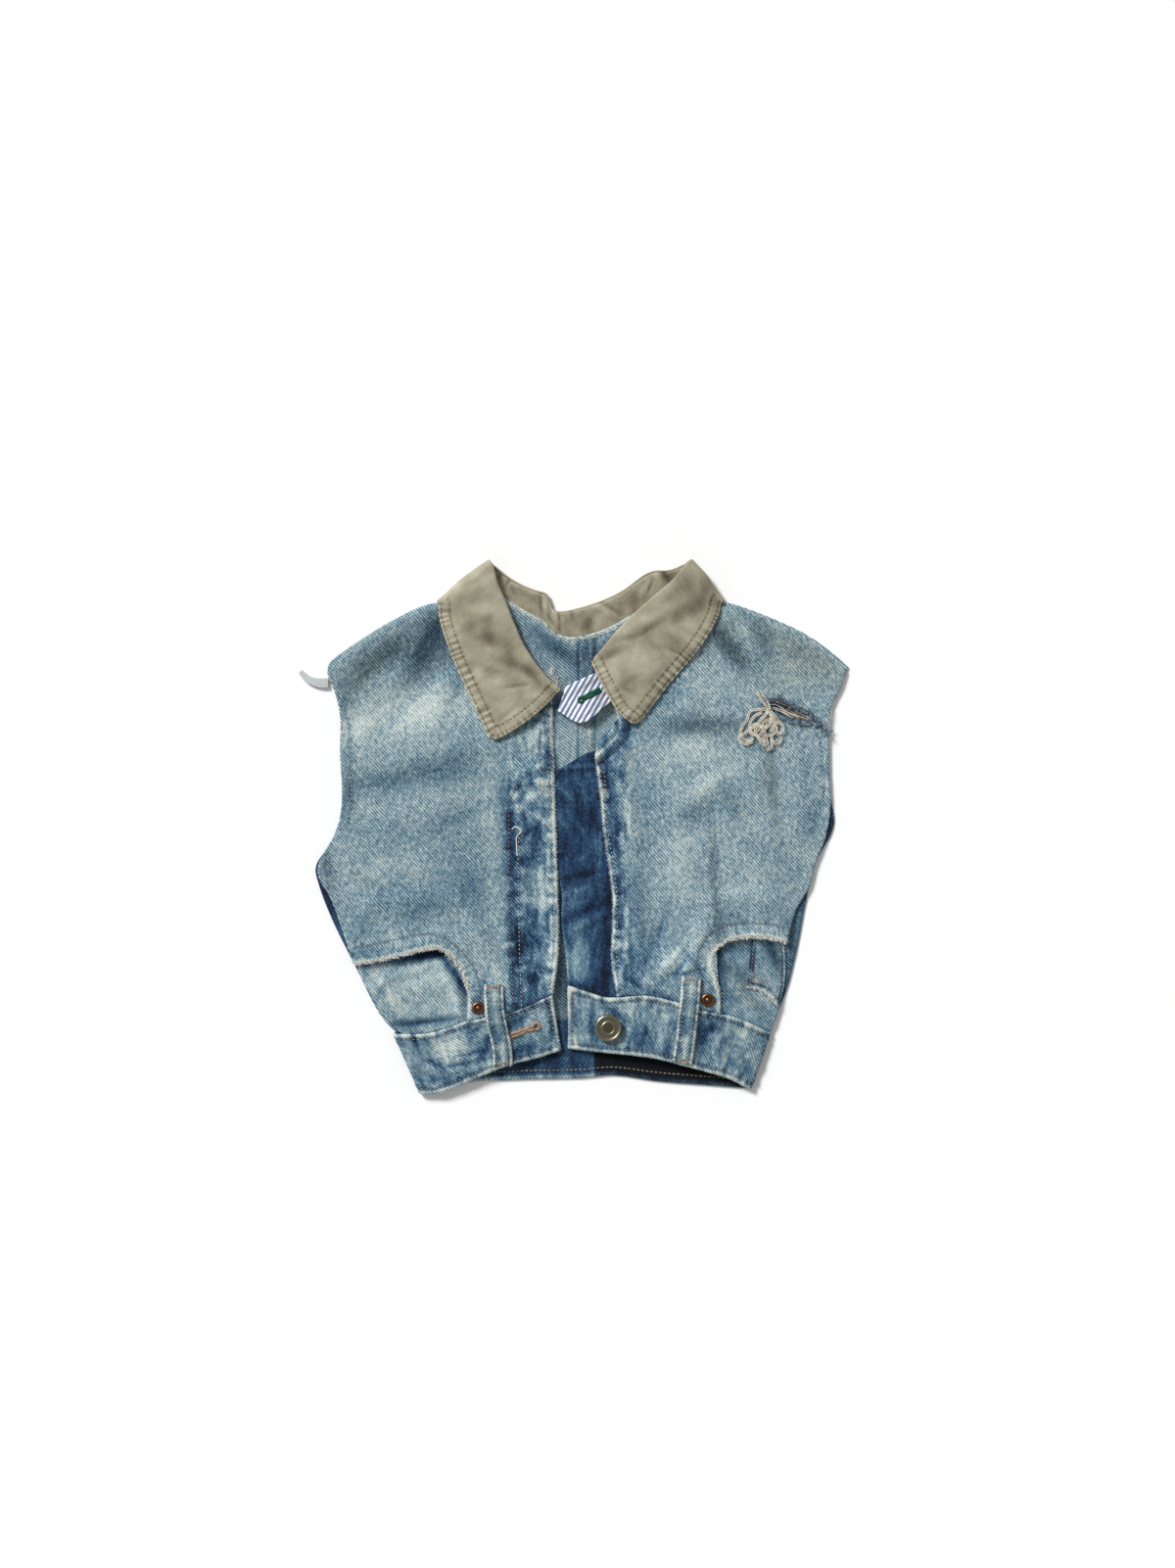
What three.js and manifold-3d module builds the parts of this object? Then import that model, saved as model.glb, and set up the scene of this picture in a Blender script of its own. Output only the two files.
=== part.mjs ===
// A child's cropped denim vest, sewn from upturned jeans, laid flat on its back.
// Millimetres. X runs to the right as seen from above, Y towards the neck, Z up from the
// surface it lies on. Left and right are as seen from above. The origin is on the flat
// underside of the back, under the middle of the vest.
import * as THREE from "three";
import { mergeVertices } from "three/addons/utils/BufferGeometryUtils.js";
import Module from "manifold-3d";

const wasm = await Module();
wasm.setup();

// Cloth thicknesses
const DENIM = 1.2;
const BAND_CLOTH = 2.2;
const KHAKI = 1.2;
const TAB_CLOTH = 1.0;
const LOOP_CLOTH = 1.6;
const SEAM = 0.3;
const LAYER = DENIM + SEAM;

// Middle heights of the cloths where they lie on each other
const BACK_MID = DENIM / 2;
const FRONT_MID = BACK_MID + LAYER;
const BAND_BACK_MID = BAND_CLOTH / 2;
const SHIELD_MID = 3.1;
const FRONT_ON_SHIELD = 2.6;
const FRONT_ON_POCKET = 1.9;

// The felled seam down the middle of the back
const BACK_JOIN = -3;
const BACK_SEAM = { from: -2.6, to: 8, raise: 0.8 };

// The neck: what the collar takes up under the back
const FALL_BACK_MID = KHAKI / 2;
const STAND_BACK_MID = FALL_BACK_MID + KHAKI + SEAM;
const BACK_ON_FALL = 1.8;
const BACK_ON_STAND = 1.6;

// Trims
const BUTTON = { x: 17.2, y: -134, radius: 9, rim: 1.2, shank: 3.2, height: 4.6 };
const RIVETS = [
  { name: "rivet_left", x: -70, y: -121, radius: 4.3, height: 1.5 },
  { name: "rivet_right", x: 84, y: -115.5, radius: 4.6, height: 1.5 },
];
const BELT_LOOP_WIDTH = 12;
const BELT_LOOP_LIFT = 1.4;

const COLOURS = {
  wash: 0x8aa4ad,
  back: 0x5d7383,
  band: 0x8696a0,
  shield: 0x29486b,
  pocket: 0x9aafb3,
  khaki: 0x9c9581,
  tab: 0xb9c2d4,
  brass: 0x6e685a,
  copper: 0x7a5038,
  tape: 0xe6eaea,
  thread: 0xd9d4c4,
};

// Rows of numbers under named columns.
function table(columns, ...rows) {
  const names = columns.split(" ");
  return rows.map((row) => Object.fromEntries(names.map((name, i) => [name, row[i]])));
}

const outline = (...rows) => table("x y", ...rows);

// Outlines of the pieces, in plan. Each is a smooth line through its rows.
const BACK_SIDE_LEFT = outline([-126, -137.4], [-136, -126], [-151, -96.6], [-168, -62.6],
  [-177.4, -38], [-179.4, -26.5], [-168, -8], [-162.4, 12], [-162.2, 40], [-163, 74], [-166, 89],
  [-171.6, 103.6]);
const BACK_SIDE_RIGHT = outline([125, -137.6], [136, -112], [143.5, -84], [150, -50], [156.6, -24],
  [167.4, -3], [169, 5], [166.8, 22], [165.6, 58], [166.4, 79], [173, 94], [178.8, 108]);
const BACK_SHOULDER_LEFT = outline([-171.6, 103.6], [-170.6, 110], [-160, 119], [-142, 131],
  [-122, 142.4], [-107, 149.2], [-100, 150.6], [-84, 152], [-69, 154]);
const BACK_SHOULDER_RIGHT = outline([63.5, 153], [78, 151.4], [98, 150.8], [110, 147.4],
  [124, 142], [148.5, 130.8], [168, 117.5], [178.8, 108]);
const BACK_NECK_LEFT = outline([-69, 154], [-58, 157], [-42.9, 148], [-25.7, 138], [-19, 131],
  [-10, 128], [BACK_JOIN, 128]);
const BACK_NECK_RIGHT = outline([BACK_JOIN + SEAM, 128], [6.6, 130], [23, 137], [39.6, 147],
  [52, 154], [63.5, 153]);

const FRONT_SIDE_LEFT = outline([-154, -91], [-162, -67], [-170, -46], [-177, -34], [-177.4, -25],
  [-166, -3], [-161.7, 16], [-163, 52], [-163, 78], [-169.5, 103]);
const FRONT_SHOULDER_LEFT = outline([-169.5, 103], [-168, 108.6], [-158.5, 116.6], [-142, 128],
  [-122, 139.4], [-107, 146.4], [-84, 149.6], [-69.5, 151.6]);
const FRONT_NECK_LEFT = outline([-69.5, 151.6], [-65, 142], [-56, 125], [-44, 108], [-33, 96], [-21, 88]);
const FRONT_EDGE_LEFT = outline([-21, -112.7], [-17.5, -88], [-17, -70], [-18.5, -3], [-20.5, 56],
  [-21, 88]);
const SCOOP_LEFT = outline([-154, -91], [-129, -86.5], [-106, -81], [-97, -80], [-88, -86],
  [-80, -97], [-77, -108], [-77, -130.1]);
const FRONT_SIDE_RIGHT = outline([137.3, -76], [143, -56], [152, -40], [156, -25], [163.6, -5],
  [166.6, 14], [165.6, 40], [165.6, 66], [167, 81], [173.5, 94.5], [177, 105.6]);
const FRONT_SHOULDER_RIGHT = outline([64, 150.6], [78, 149], [97, 148], [122, 140.4],
  [148.5, 128.4], [167, 115.4], [177, 105.6]);
const FRONT_NECK_RIGHT = outline([18, 88], [18, 100], [27, 112], [37, 123], [50, 136], [58, 144.6],
  [64, 150.6]);
const FRONT_EDGE_RIGHT = outline([23.8, -113], [20, -88], [21, -62], [20.5, -43], [14.5, 0],
  [12.5, 22], [8.8, 49]);
const FRONT_FLAP_RIGHT = outline([8.8, 49], [17, 56], [24, 64], [24.5, 74], [18, 88]);
const SCOOP_RIGHT = outline([91.4, -124.9], [91.5, -111], [86.5, -97], [86.3, -86], [94, -76.5],
  [109, -72.7], [124, -73], [137.3, -76]);

const POCKET_LEFT_OUTER = outline([-120.6, -138.6], [-129, -132], [-141, -114], [-151, -94],
  [-149, -78], [-140, -56]);
const POCKET_LEFT_INNER = outline([-66, -127.4], [-67, -104], [-73, -78], [-82, -56]);
const POCKET_RIGHT_INNER = outline([83, -123], [79, -104], [83, -78], [92, -54]);
const POCKET_RIGHT_OUTER = outline([125.6, -137.4], [131, -124], [136, -102], [136, -84],
  [133, -66], [126, -54]);
const COIN_INNER = outline([110.9, -106], [113, -86], [116, -62]);
const COIN_OUTER = outline([130.6, -118], [133.4, -105], [133.6, -84], [130, -64]);

const SHIELD_LEFT_EDGE = outline([-9.4, -106.5], [-11, -85], [-14, -62], [-13.6, -44], [-19, -22],
  [-23, 10], [-23.8, 34]);
const SHIELD_RIGHT_EDGE = outline([31, -112.8], [31, -60], [28, -20], [25, 20], [21, 46]);
const SHIELD_TOP = outline([-23.8, 34], [-8, 43.5], [3.3, 50], [12, 51], [21, 46]);

// The waistband: its two edges and middle height at each station, from the left end at the
// centre front, round the left side, across the back and round the right side.
const BAND_FRONT_LEFT = table("xTop yTop xLow yLow z",
  [-21, -113, -15, -149, 4.7], [-36, -119.5, -31, -154, 5.3], [-50, -124.7, -49, -158.5, 5.8],
  [-77, -130.4, -74, -168.5, 5.6], [-89, -134.8, -88, -174.6, 5.0],
  [-104, -139, -99, -178.2, 4.4], [-125, -139.6, -107.6, -178.4, 3.9]);
const BAND_BACK = table("xTop yTop xLow yLow z",
  ...[
    [-124.4, -138.2, -107, -177.6], [-90, -134.2, -79, -171], [-50, -130.9, -46, -168.8],
    [0, -129.9, 0, -167.6], [18, -130, 20, -165.8], [50, -130.9, 50, -169.8],
    [92, -134.2, 88, -172.8], [123.6, -137.9, 111, -174.6],
  ].map((row) => [...row, BAND_BACK_MID]));
const BAND_FRONT_RIGHT = table("xTop yTop xLow yLow z",
  [124.6, -138, 111.8, -174.8, 3.9], [102, -128, 99, -168, 6.2], [80, -123, 79, -161.8, 7.9],
  [60, -116.6, 60, -156.6, 8.7], [43, -113, 43, -153, 8.5], [17, -114.8, 17, -150.4, 7.2],
  [3, -111, 3, -149, 6.0], [-9.2, -107, -9.2, -147.6, 5.2]);

// The collar's fall and stand, in plan. Each leaf runs from its front end to the side of the
// neck, where the collar folds under the shoulder and goes on behind the back.
const LEAF_LEFT_END = outline([-16, 92], [-26, 81.5], [-40, 70], [-52, 62.5]);
const LEAF_LEFT_TIP = outline([-52, 62.5], [-58.5, 59.8], [-63, 62]);
const LEAF_LEFT_ROLL = outline([-16, 92], [-27.5, 103.6], [-41, 123.5], [-52.8, 151.8],
  [-58, 163.7], [-61, 176]);
const LEAF_LEFT_OUTER = outline([-63, 62], [-72.6, 82.5], [-87, 114], [-96, 142], [-96, 150]);
const LEAF_RIGHT_END = outline([6.6, 110.2], [13, 97], [24, 78], [31, 71.6]);
const LEAF_RIGHT_TIP = outline([31, 71.6], [35, 70], [40, 73.4]);
const LEAF_RIGHT_ROLL = outline([6.6, 110.2], [27.7, 135.3], [52.8, 158.4], [62.7, 167],
  [70.4, 177]);
const LEAF_RIGHT_OUTER = outline([40, 73.4], [56, 94.4], [81, 124.7], [91, 143], [93, 151]);
const FALL_ROLL_BACK = outline([-61, 176], [-46.2, 165], [-33, 159], [-24.4, 156], [-19, 145],
  [-3.3, 146.5], [23, 156], [46, 171], [60, 172.5], [70.4, 177]);
const FALL_OUTER_BACK = outline([-96, 150], [-75, 131], [-46, 119], [0, 103], [40, 118],
  [70, 133], [93, 151]);
const STAND_NECK_LEFT = outline([-23.6, 84], [-36, 92], [-47, 104.6], [-60, 123], [-68, 139],
  [-72.5, 155.5]);
const STAND_ROLL_LEFT = outline([-18.4, 92], [-30, 103.6], [-43, 123.5], [-54.8, 150.8],
  [-60, 162.7], [-62, 173.6]);
const STAND_NECK_RIGHT = outline([15, 92], [20, 101], [32, 114], [43, 125], [61, 142], [67.5, 154.6]);
const STAND_ROLL_RIGHT = outline([9, 110.2], [29.7, 134.3], [53, 156], [63, 165], [69.6, 174.4]);
const STAND_NECK_BACK = outline([-72.5, 155.5], [-58, 153.4], [-42.9, 144.6], [-27, 134.6], [-19, 127],
  [-3, 124.4], [8, 126.6], [24, 133.5], [42, 144.6], [53, 150.6], [67.5, 154.6]);
const STAND_ROLL_BACK = outline([-62, 173.6], [-46.2, 162.6], [-33, 156.8], [-24.4, 153],
  [-18, 143.6], [-3.3, 144.4], [23, 153.6], [46, 168.4], [60, 170.2], [69.6, 174.4]);
const NECK_FOLD_LEFT = { x: -0.63, y: 0.78 };
const NECK_FOLD_RIGHT = { x: 0.788, y: 0.616 };

// The soft puffs and folds that lift the fronts: middle, direction in degrees, half length,
// half width and height.
const FRONT_FOLDS = table("x y turn long wide high",
  [-95, 30, 80, 75, 42, 2.4], [-130, 96, 35, 34, 9, 1.5], [-112, 112, 30, 30, 8, 1.2],
  [-120, -10, 150, 40, 12, 1.0], [-75, -45, 130, 36, 11, 1.4], [-60, -92, 115, 24, 8, 1.2],
  [-118, -84, 12, 34, 9, 1.5], [-42, 0, 90, 60, 8, 0.9], [-148, 55, 75, 30, 8, 0.8],
  [95, 15, 95, 75, 42, 2.4], [104, 118, 145, 34, 9, 1.5], [70, 96, 110, 30, 9, 1.1],
  [118, 40, 60, 34, 10, 1.0], [60, -20, 100, 46, 10, 1.0], [88, -62, 65, 30, 9, 1.4],
  [62, -92, 160, 18, 7, 1.4], [112, -70, 175, 26, 8, 1.6], [140, 0, 80, 34, 9, 0.9],
  [76, -94, 125, 16, 5, 1.0]);
const POCKET_FOLDS = table("x y turn long wide high",
  [-112, -107, 10, 30, 13, 2.4], [-96, -124, 20, 24, 8, 0.8], [104, -96, 70, 22, 7, 1.6],
  [116, -112, 130, 20, 6, 1.2], [92, -106, 110, 14, 4, 0.8]);
const SHIELD_FOLDS = table("x y turn long wide high",
  [-4, -34, 10, 20, 5, 0.5], [0, -62, 20, 22, 7, 0.5]);

// Rips: the hole near the right armhole, from its wide end to its narrow one.
const RIP = outline([122.6, 86], [131, 87], [141, 81.5], [151, 77], [158.5, 70.5], [149, 71],
  [138, 73.5], [128, 77], [123.5, 81]);

// A smooth line through rows, as points spaced evenly along it.
function smooth(rows) {
  const curve = new THREE.CatmullRomCurve3(
    rows.map(({ x, y, z = 0 }) => new THREE.Vector3(x, y, z)),
    false,
    "centripetal",
  );
  return curve;
}

// One side of a piece: smooth runs that meet at corners. at(t) is a point a share t along it.
function side(...runs) {
  const path = new THREE.CurvePath();
  for (const rows of runs) path.add(smooth(rows));
  const lengths = path.getCurveLengths();
  const whole = lengths.at(-1);
  return {
    at: (t) => path.getPoint(Math.min(Math.max(t, 0), 1)),
    corners: lengths.slice(0, -1).map((l) => l / whole),
  };
}

// Shares from 0 to 1 in equal steps, the nearest ones moved onto the corners.
function steps(count, corners = []) {
  const shares = Array.from({ length: count + 1 }, (_, i) => i / count);
  for (const c of corners) shares[Math.round(c * count)] = c;
  return shares;
}

// The plan of a four-sided piece: sides run left to right and bottom to top.
function patch(bottom, top, left, right) {
  const [p00, p10, p01, p11] = [bottom.at(0), bottom.at(1), top.at(0), top.at(1)];
  return (u, v) => {
    const across = bottom.at(u).multiplyScalar(1 - v).addScaledVector(top.at(u), v);
    const up = left.at(v).multiplyScalar(1 - u).addScaledVector(right.at(v), u);
    return across.add(up)
      .addScaledVector(p00, -(1 - u) * (1 - v))
      .addScaledVector(p10, -u * (1 - v))
      .addScaledVector(p01, -(1 - u) * v)
      .addScaledVector(p11, -u * v);
  };
}

// A grid of middle points from a plan and a height.
function spread(plan, us, vs, height) {
  return us.map((u) => vs.map((v) => {
    const p = plan(u, v);
    p.z = height(p.x, p.y, u, v);
    return p;
  }));
}

// The closed wall round a grid of middle points. raise(p) adds to its outer face.
function wall(grid, thickness, raise = () => 0) {
  const rows = grid.length;
  const cols = grid[0].length;
  const positions = [];
  const normalAt = (i, j) => {
    const along = grid[Math.min(i + 1, rows - 1)][j].clone().sub(grid[Math.max(i - 1, 0)][j]);
    const across = grid[i][Math.min(j + 1, cols - 1)].clone().sub(grid[i][Math.max(j - 1, 0)]);
    return along.cross(across).normalize();
  };
  for (let i = 0; i < rows; i++)
    for (let j = 0; j < cols; j++) {
      const n = normalAt(i, j);
      const p = grid[i][j];
      const outer = p.clone().addScaledVector(n, thickness / 2 + raise(p));
      const inner = p.clone().addScaledVector(n, -thickness / 2);
      positions.push(...outer.toArray(), ...inner.toArray());
    }
  const outer = (i, j) => 2 * (i * cols + j);
  const inner = (i, j) => outer(i, j) + 1;
  const faces = [];
  const quad = (a, b, c, d) => faces.push(a, b, c, a, c, d);
  for (let i = 0; i + 1 < rows; i++)
    for (let j = 0; j + 1 < cols; j++) {
      quad(outer(i, j), outer(i + 1, j), outer(i + 1, j + 1), outer(i, j + 1));
      quad(inner(i, j), inner(i, j + 1), inner(i + 1, j + 1), inner(i + 1, j));
    }
  for (let i = 0; i + 1 < rows; i++) {
    quad(outer(i, 0), inner(i, 0), inner(i + 1, 0), outer(i + 1, 0));
    quad(outer(i + 1, cols - 1), inner(i + 1, cols - 1), inner(i, cols - 1), outer(i, cols - 1));
  }
  for (let j = 0; j + 1 < cols; j++) {
    quad(outer(0, j + 1), inner(0, j + 1), inner(0, j), outer(0, j));
    quad(outer(rows - 1, j), inner(rows - 1, j), inner(rows - 1, j + 1), outer(rows - 1, j + 1));
  }
  const geometry = new THREE.BufferGeometry();
  geometry.setAttribute("position", new THREE.Float32BufferAttribute(positions, 3));
  geometry.setIndex(faces);
  return geometry;
}

function solid(geometry) {
  const bare = geometry.clone();
  bare.deleteAttribute("normal");
  bare.deleteAttribute("uv");
  const merged = mergeVertices(bare, 1e-4);
  return new wasm.Manifold(new wasm.Mesh({
    numProp: 3,
    vertProperties: merged.attributes.position.array,
    triVerts: new Uint32Array(merged.index.array),
  }));
}

function geometryOf(made) {
  const mesh = made.getMesh();
  const geometry = new THREE.BufferGeometry();
  geometry.setAttribute("position", new THREE.Float32BufferAttribute(mesh.vertProperties, 3));
  geometry.setIndex(Array.from(mesh.triVerts));
  return geometry;
}

const vest = new THREE.Group();
function sew(name, geometry, color, { roughness = 0.9, metalness = 0 } = {}) {
  const material = new THREE.MeshStandardMaterial({ color, roughness, metalness });
  const mesh = new THREE.Mesh(geometry, material);
  mesh.name = name;
  vest.add(mesh);
  return mesh;
}

const ease = (t) => {
  const s = Math.min(Math.max(t, 0), 1);
  return s * s * (3 - 2 * s);
};

// Distance from a point to an area, 0 inside it.
function outside(area, x, y) {
  let inside = false;
  let nearest = Infinity;
  area.forEach((a, i) => {
    const b = area[(i + 1) % area.length];
    if (a.y > y !== b.y > y && x < a.x + ((y - a.y) * (b.x - a.x)) / (b.y - a.y)) inside = !inside;
    const [dx, dy] = [b.x - a.x, b.y - a.y];
    const length2 = dx * dx + dy * dy || 1;
    const t = Math.min(Math.max(((x - a.x) * dx + (y - a.y) * dy) / length2, 0), 1);
    nearest = Math.min(nearest, Math.hypot(x - a.x - t * dx, y - a.y - t * dy));
  });
  return inside ? 0 : nearest;
}

// 1 over an area and a margin round it, easing down to 0 over a slope.
const cover = (area, margin, slope) => (x, y) => 1 - ease((outside(area, x, y) - margin) / slope);

function folds(rows) {
  return (x, y) => rows.reduce((sum, f) => {
    const turn = THREE.MathUtils.degToRad(f.turn);
    const along = ((x - f.x) * Math.cos(turn) + (y - f.y) * Math.sin(turn)) / f.long;
    const across = ((y - f.y) * Math.cos(turn) - (x - f.x) * Math.sin(turn)) / f.wide;
    return sum + f.high * Math.exp(-along * along - across * across);
  }, 0);
}

// The value of a column of a table at x, between its rows.
function reading(rows, key, value) {
  const sorted = [...rows].sort((a, b) => a[key] - b[key]);
  return (x) => {
    const i = sorted.findIndex((row) => row[key] > x);
    if (i === 0) return sorted[0][value];
    if (i < 0) return sorted.at(-1)[value];
    const [a, b] = [sorted[i - 1], sorted[i]];
    return a[value] + ((x - a[key]) / (b[key] - a[key])) * (b[value] - a[value]);
  };
}

// Heights of the cloths, from what lies under them.
const fallArea = [...FALL_OUTER_BACK, ...[...FALL_ROLL_BACK].reverse()];
const standArea = [...STAND_NECK_BACK, ...[...STAND_ROLL_BACK].reverse()];
function collarRise(spare) {
  const onFall = cover(fallArea, 5 + spare, 12);
  const onStand = cover(standArea, 2.5 + spare, 8);
  return (x, y) => BACK_ON_FALL * onFall(x, y) + BACK_ON_STAND * onStand(x, y);
}
const backRise = collarRise(0);
const frontRise = collarRise(4);
const backHeight = (x, y) => BACK_MID + backRise(x, y);

const shieldArea = [...SHIELD_LEFT_EDGE, ...SHIELD_TOP, ...[...SHIELD_RIGHT_EDGE].reverse()];
const pocketAreaLeft = [...POCKET_LEFT_OUTER, ...[...POCKET_LEFT_INNER].reverse()];
const pocketAreaRight = [...POCKET_RIGHT_OUTER, ...[...POCKET_RIGHT_INNER].reverse()];
const onShield = cover(shieldArea, 5, 14);
const onPocketLeft = cover(pocketAreaLeft, 5, 12);
const onPocketRight = cover(pocketAreaRight, 5, 12);
const frontFolds = folds(FRONT_FOLDS);
const pocketFolds = folds(POCKET_FOLDS);
const shieldFolds = folds(SHIELD_FOLDS);

const bandHeights = {
  left: reading(BAND_FRONT_LEFT, "xTop", "z"),
  right: reading(BAND_FRONT_RIGHT, "xTop", "z"),
};
const bandTops = {
  left: reading(BAND_FRONT_LEFT, "xTop", "yTop"),
  right: reading(BAND_FRONT_RIGHT, "xTop", "yTop"),
};

// 1 at the waistband's top edge, easing to 0 some way above it.
const WAIST_REACH = 42;
const nearBand = (half, x, y) => 1 - ease((y - bandTops[half](x)) / WAIST_REACH);

// A height that meets the waistband at its own level there.
function meetBand(half, x, y, height, level) {
  const share = nearBand(half, x, y);
  return height * (1 - share) + (bandHeights[half](x) + level) * share;
}

function frontHeight(half, x, y) {
  const pocket = half === "left" ? onPocketLeft : onPocketRight;
  const under = Math.max(frontRise(x, y), FRONT_ON_POCKET * pocket(x, y), FRONT_ON_SHIELD * onShield(x, y));
  return meetBand(half, x, y, FRONT_MID + under + frontFolds(x, y), LAYER / 2);
}

const pocketHeight = (half, x, y) =>
  meetBand(half, x, y, FRONT_MID + pocketFolds(x, y) * ease((-72 - y) / 16), -LAYER / 2);

const shieldHeight = (x, y) => meetBand("right", x, y, SHIELD_MID + shieldFolds(x, y), -LAYER / 2);

// The back, in two halves joined by a felled seam
function makeBack(name, { waist, sideLeft, sideRight, top, across }) {
  const bottom = side(waist);
  const us = steps(across, top.corners);
  const vs = steps(19);
  const plan = patch(bottom, top, sideLeft, sideRight);
  const raise = ({ x }) => (x > BACK_SEAM.from && x < BACK_SEAM.to ? BACK_SEAM.raise : 0);
  sew(name, wall(spread(plan, us, vs, backHeight), DENIM, raise), COLOURS.back);
}

// The back's waist line is cut at the join; each half takes its own stretch of it.
const bandBackTop = reading(BAND_BACK, "xTop", "yTop");
const waistAt = (x) => bandBackTop(x) + 2 * SEAM;
const waistStretch = (from, to) =>
  outline(...[0, 0.25, 0.5, 0.75, 1].map((t) => {
    const x = from + (to - from) * t;
    return [x, waistAt(x)];
  }));
makeBack("back_left", {
  waist: waistStretch(-126, BACK_JOIN),
  sideLeft: side(BACK_SIDE_LEFT),
  sideRight: side(outline([BACK_JOIN, waistAt(BACK_JOIN)], [BACK_JOIN, 128])),
  top: side(BACK_SHOULDER_LEFT, BACK_NECK_LEFT),
  across: 13,
});
// The join's half carries the seam's own columns, so that its ridge has straight edges.
const seamStep = BACK_JOIN + SEAM;
function makeBackRight() {
  const left = side(outline([seamStep, waistAt(seamStep)], [seamStep, 128]));
  const seamEdge = side(outline([BACK_SEAM.to, waistAt(BACK_SEAM.to)], [BACK_SEAM.to, 130.6]));
  const right = side(BACK_SIDE_RIGHT);
  const top = side(outline([BACK_SEAM.to, 130.6], ...BACK_NECK_RIGHT.slice(2).map(({ x, y }) => [x, y])),
    BACK_SHOULDER_RIGHT);
  const strip = patch(side(waistStretch(seamStep, BACK_SEAM.to)),
    side(outline([seamStep, 128], [BACK_SEAM.to, 130.6])), left, seamEdge);
  const field = patch(side(waistStretch(BACK_SEAM.to, 125)), top, seamEdge, right);
  const vs = steps(19);
  const grid = [
    ...spread(strip, [0, 0.04, 0.97], vs, backHeight),
    ...spread(field, steps(13, top.corners), vs, backHeight),
  ];
  const raise = ({ x }) => (x > seamStep + 0.1 && x < BACK_SEAM.to - 0.1 ? BACK_SEAM.raise : 0);
  sew("back_right", wall(grid, DENIM, raise), COLOURS.back);
}
makeBackRight();

// The fronts, cut away round the pockets
function makeFront(half, bottom, top, left, right) {
  const us = steps(22, [...bottom.corners, ...top.corners]);
  const vs = steps(24, [...left.corners, ...right.corners]);
  const grid = spread(patch(bottom, top, left, right), us, vs, (x, y) => frontHeight(half, x, y));
  return wall(grid, DENIM);
}
const bandStretch = (half, from, to) =>
  outline(...[0, 0.25, 0.5, 0.75, 1].map((t) => {
    const x = from + (to - from) * t;
    return [x, bandTops[half](x) + SEAM];
  }));
sew("front_left", makeFront("left",
  side(SCOOP_LEFT, bandStretch("left", -77, -21)),
  side(FRONT_SHOULDER_LEFT, FRONT_NECK_LEFT),
  side(FRONT_SIDE_LEFT),
  side(FRONT_EDGE_LEFT)), COLOURS.wash);

function makeRip() {
  const shape = new THREE.Shape(RIP.map(({ x, y }) => new THREE.Vector2(x, y)));
  return solid(new THREE.ExtrudeGeometry(shape, { depth: 12, bevelEnabled: false }));
}
const frontRight = makeFront("right",
  side(bandStretch("right", 23.8, 91.4), SCOOP_RIGHT),
  side(FRONT_NECK_RIGHT, FRONT_SHOULDER_RIGHT),
  side(FRONT_EDGE_RIGHT, FRONT_FLAP_RIGHT),
  side(FRONT_SIDE_RIGHT));
sew("front_right", geometryOf(solid(frontRight).subtract(makeRip())), COLOURS.wash);

// The waistband, one strip round both sides
function bandRows(rows, count) {
  const top = smooth(rows.map((r) => ({ x: r.xTop, y: r.yTop, z: r.z })));
  const low = smooth(rows.map((r) => ({ x: r.xLow, y: r.yLow, z: r.z })));
  return steps(count).map((t) => [top.getPoint(t), low.getPoint(t)]);
}
// The rows between two ends of the band, round a fold that bulges outwards.
function foldRows([topA, lowA], [topB, lowB], outward, count = 3) {
  return steps(count + 1).slice(1, -1).map((t) => {
    const angle = Math.PI * t;
    return [[topA, topB], [lowA, lowB]].map(([a, b]) => {
      const radius = Math.abs(a.z - b.z) / 2;
      const p = a.clone().lerp(b, (1 - Math.cos(angle)) / 2);
      p.x += outward * radius * Math.sin(angle);
      return p;
    });
  });
}
function makeWaistband() {
  const frontLeft = bandRows(BAND_FRONT_LEFT, 16);
  const back = bandRows(BAND_BACK, 16);
  const frontRightRows = bandRows(BAND_FRONT_RIGHT, 18);
  const rows = [
    ...frontLeft,
    ...foldRows(frontLeft.at(-1), back[0], -1),
    ...back,
    ...foldRows(back.at(-1), frontRightRows[0], 1),
    ...frontRightRows,
  ];
  const grid = rows.map(([top, low]) => steps(4).map((t) => top.clone().lerp(low, t)));
  return wall(grid, BAND_CLOTH);
}
sew("waistband", makeWaistband(), COLOURS.band);

// The pocket facings, with the bags behind the fronts, and the coin pocket on the right one
function makePocket(half, from, to, left, right) {
  const [a, b] = [left.at(1), right.at(1)];
  const top = side(outline([a.x, a.y], [(a.x + b.x) / 2, a.y + 2], [b.x, b.y]));
  const plan = patch(side(bandStretch(half, from, to)), top, left, right);
  return wall(spread(plan, steps(11), steps(12), (x, y) => pocketHeight(half, x, y)), DENIM);
}
sew("pocket_left", makePocket("left", -120.6, -66, side(POCKET_LEFT_OUTER), side(POCKET_LEFT_INNER)),
  COLOURS.pocket);
sew("pocket_right", makePocket("right", 83, 125.6, side(POCKET_RIGHT_INNER), side(POCKET_RIGHT_OUTER)),
  COLOURS.pocket);

// The fly shield, which closes the centre front from behind
function makeShield() {
  const plan = patch(side(bandStretch("right", -9.4, 31)), side(SHIELD_TOP), side(SHIELD_LEFT_EDGE),
    side(SHIELD_RIGHT_EDGE));
  return wall(spread(plan, steps(7), steps(20), shieldHeight), DENIM);
}
sew("fly_shield", makeShield(), COLOURS.shield);

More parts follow.
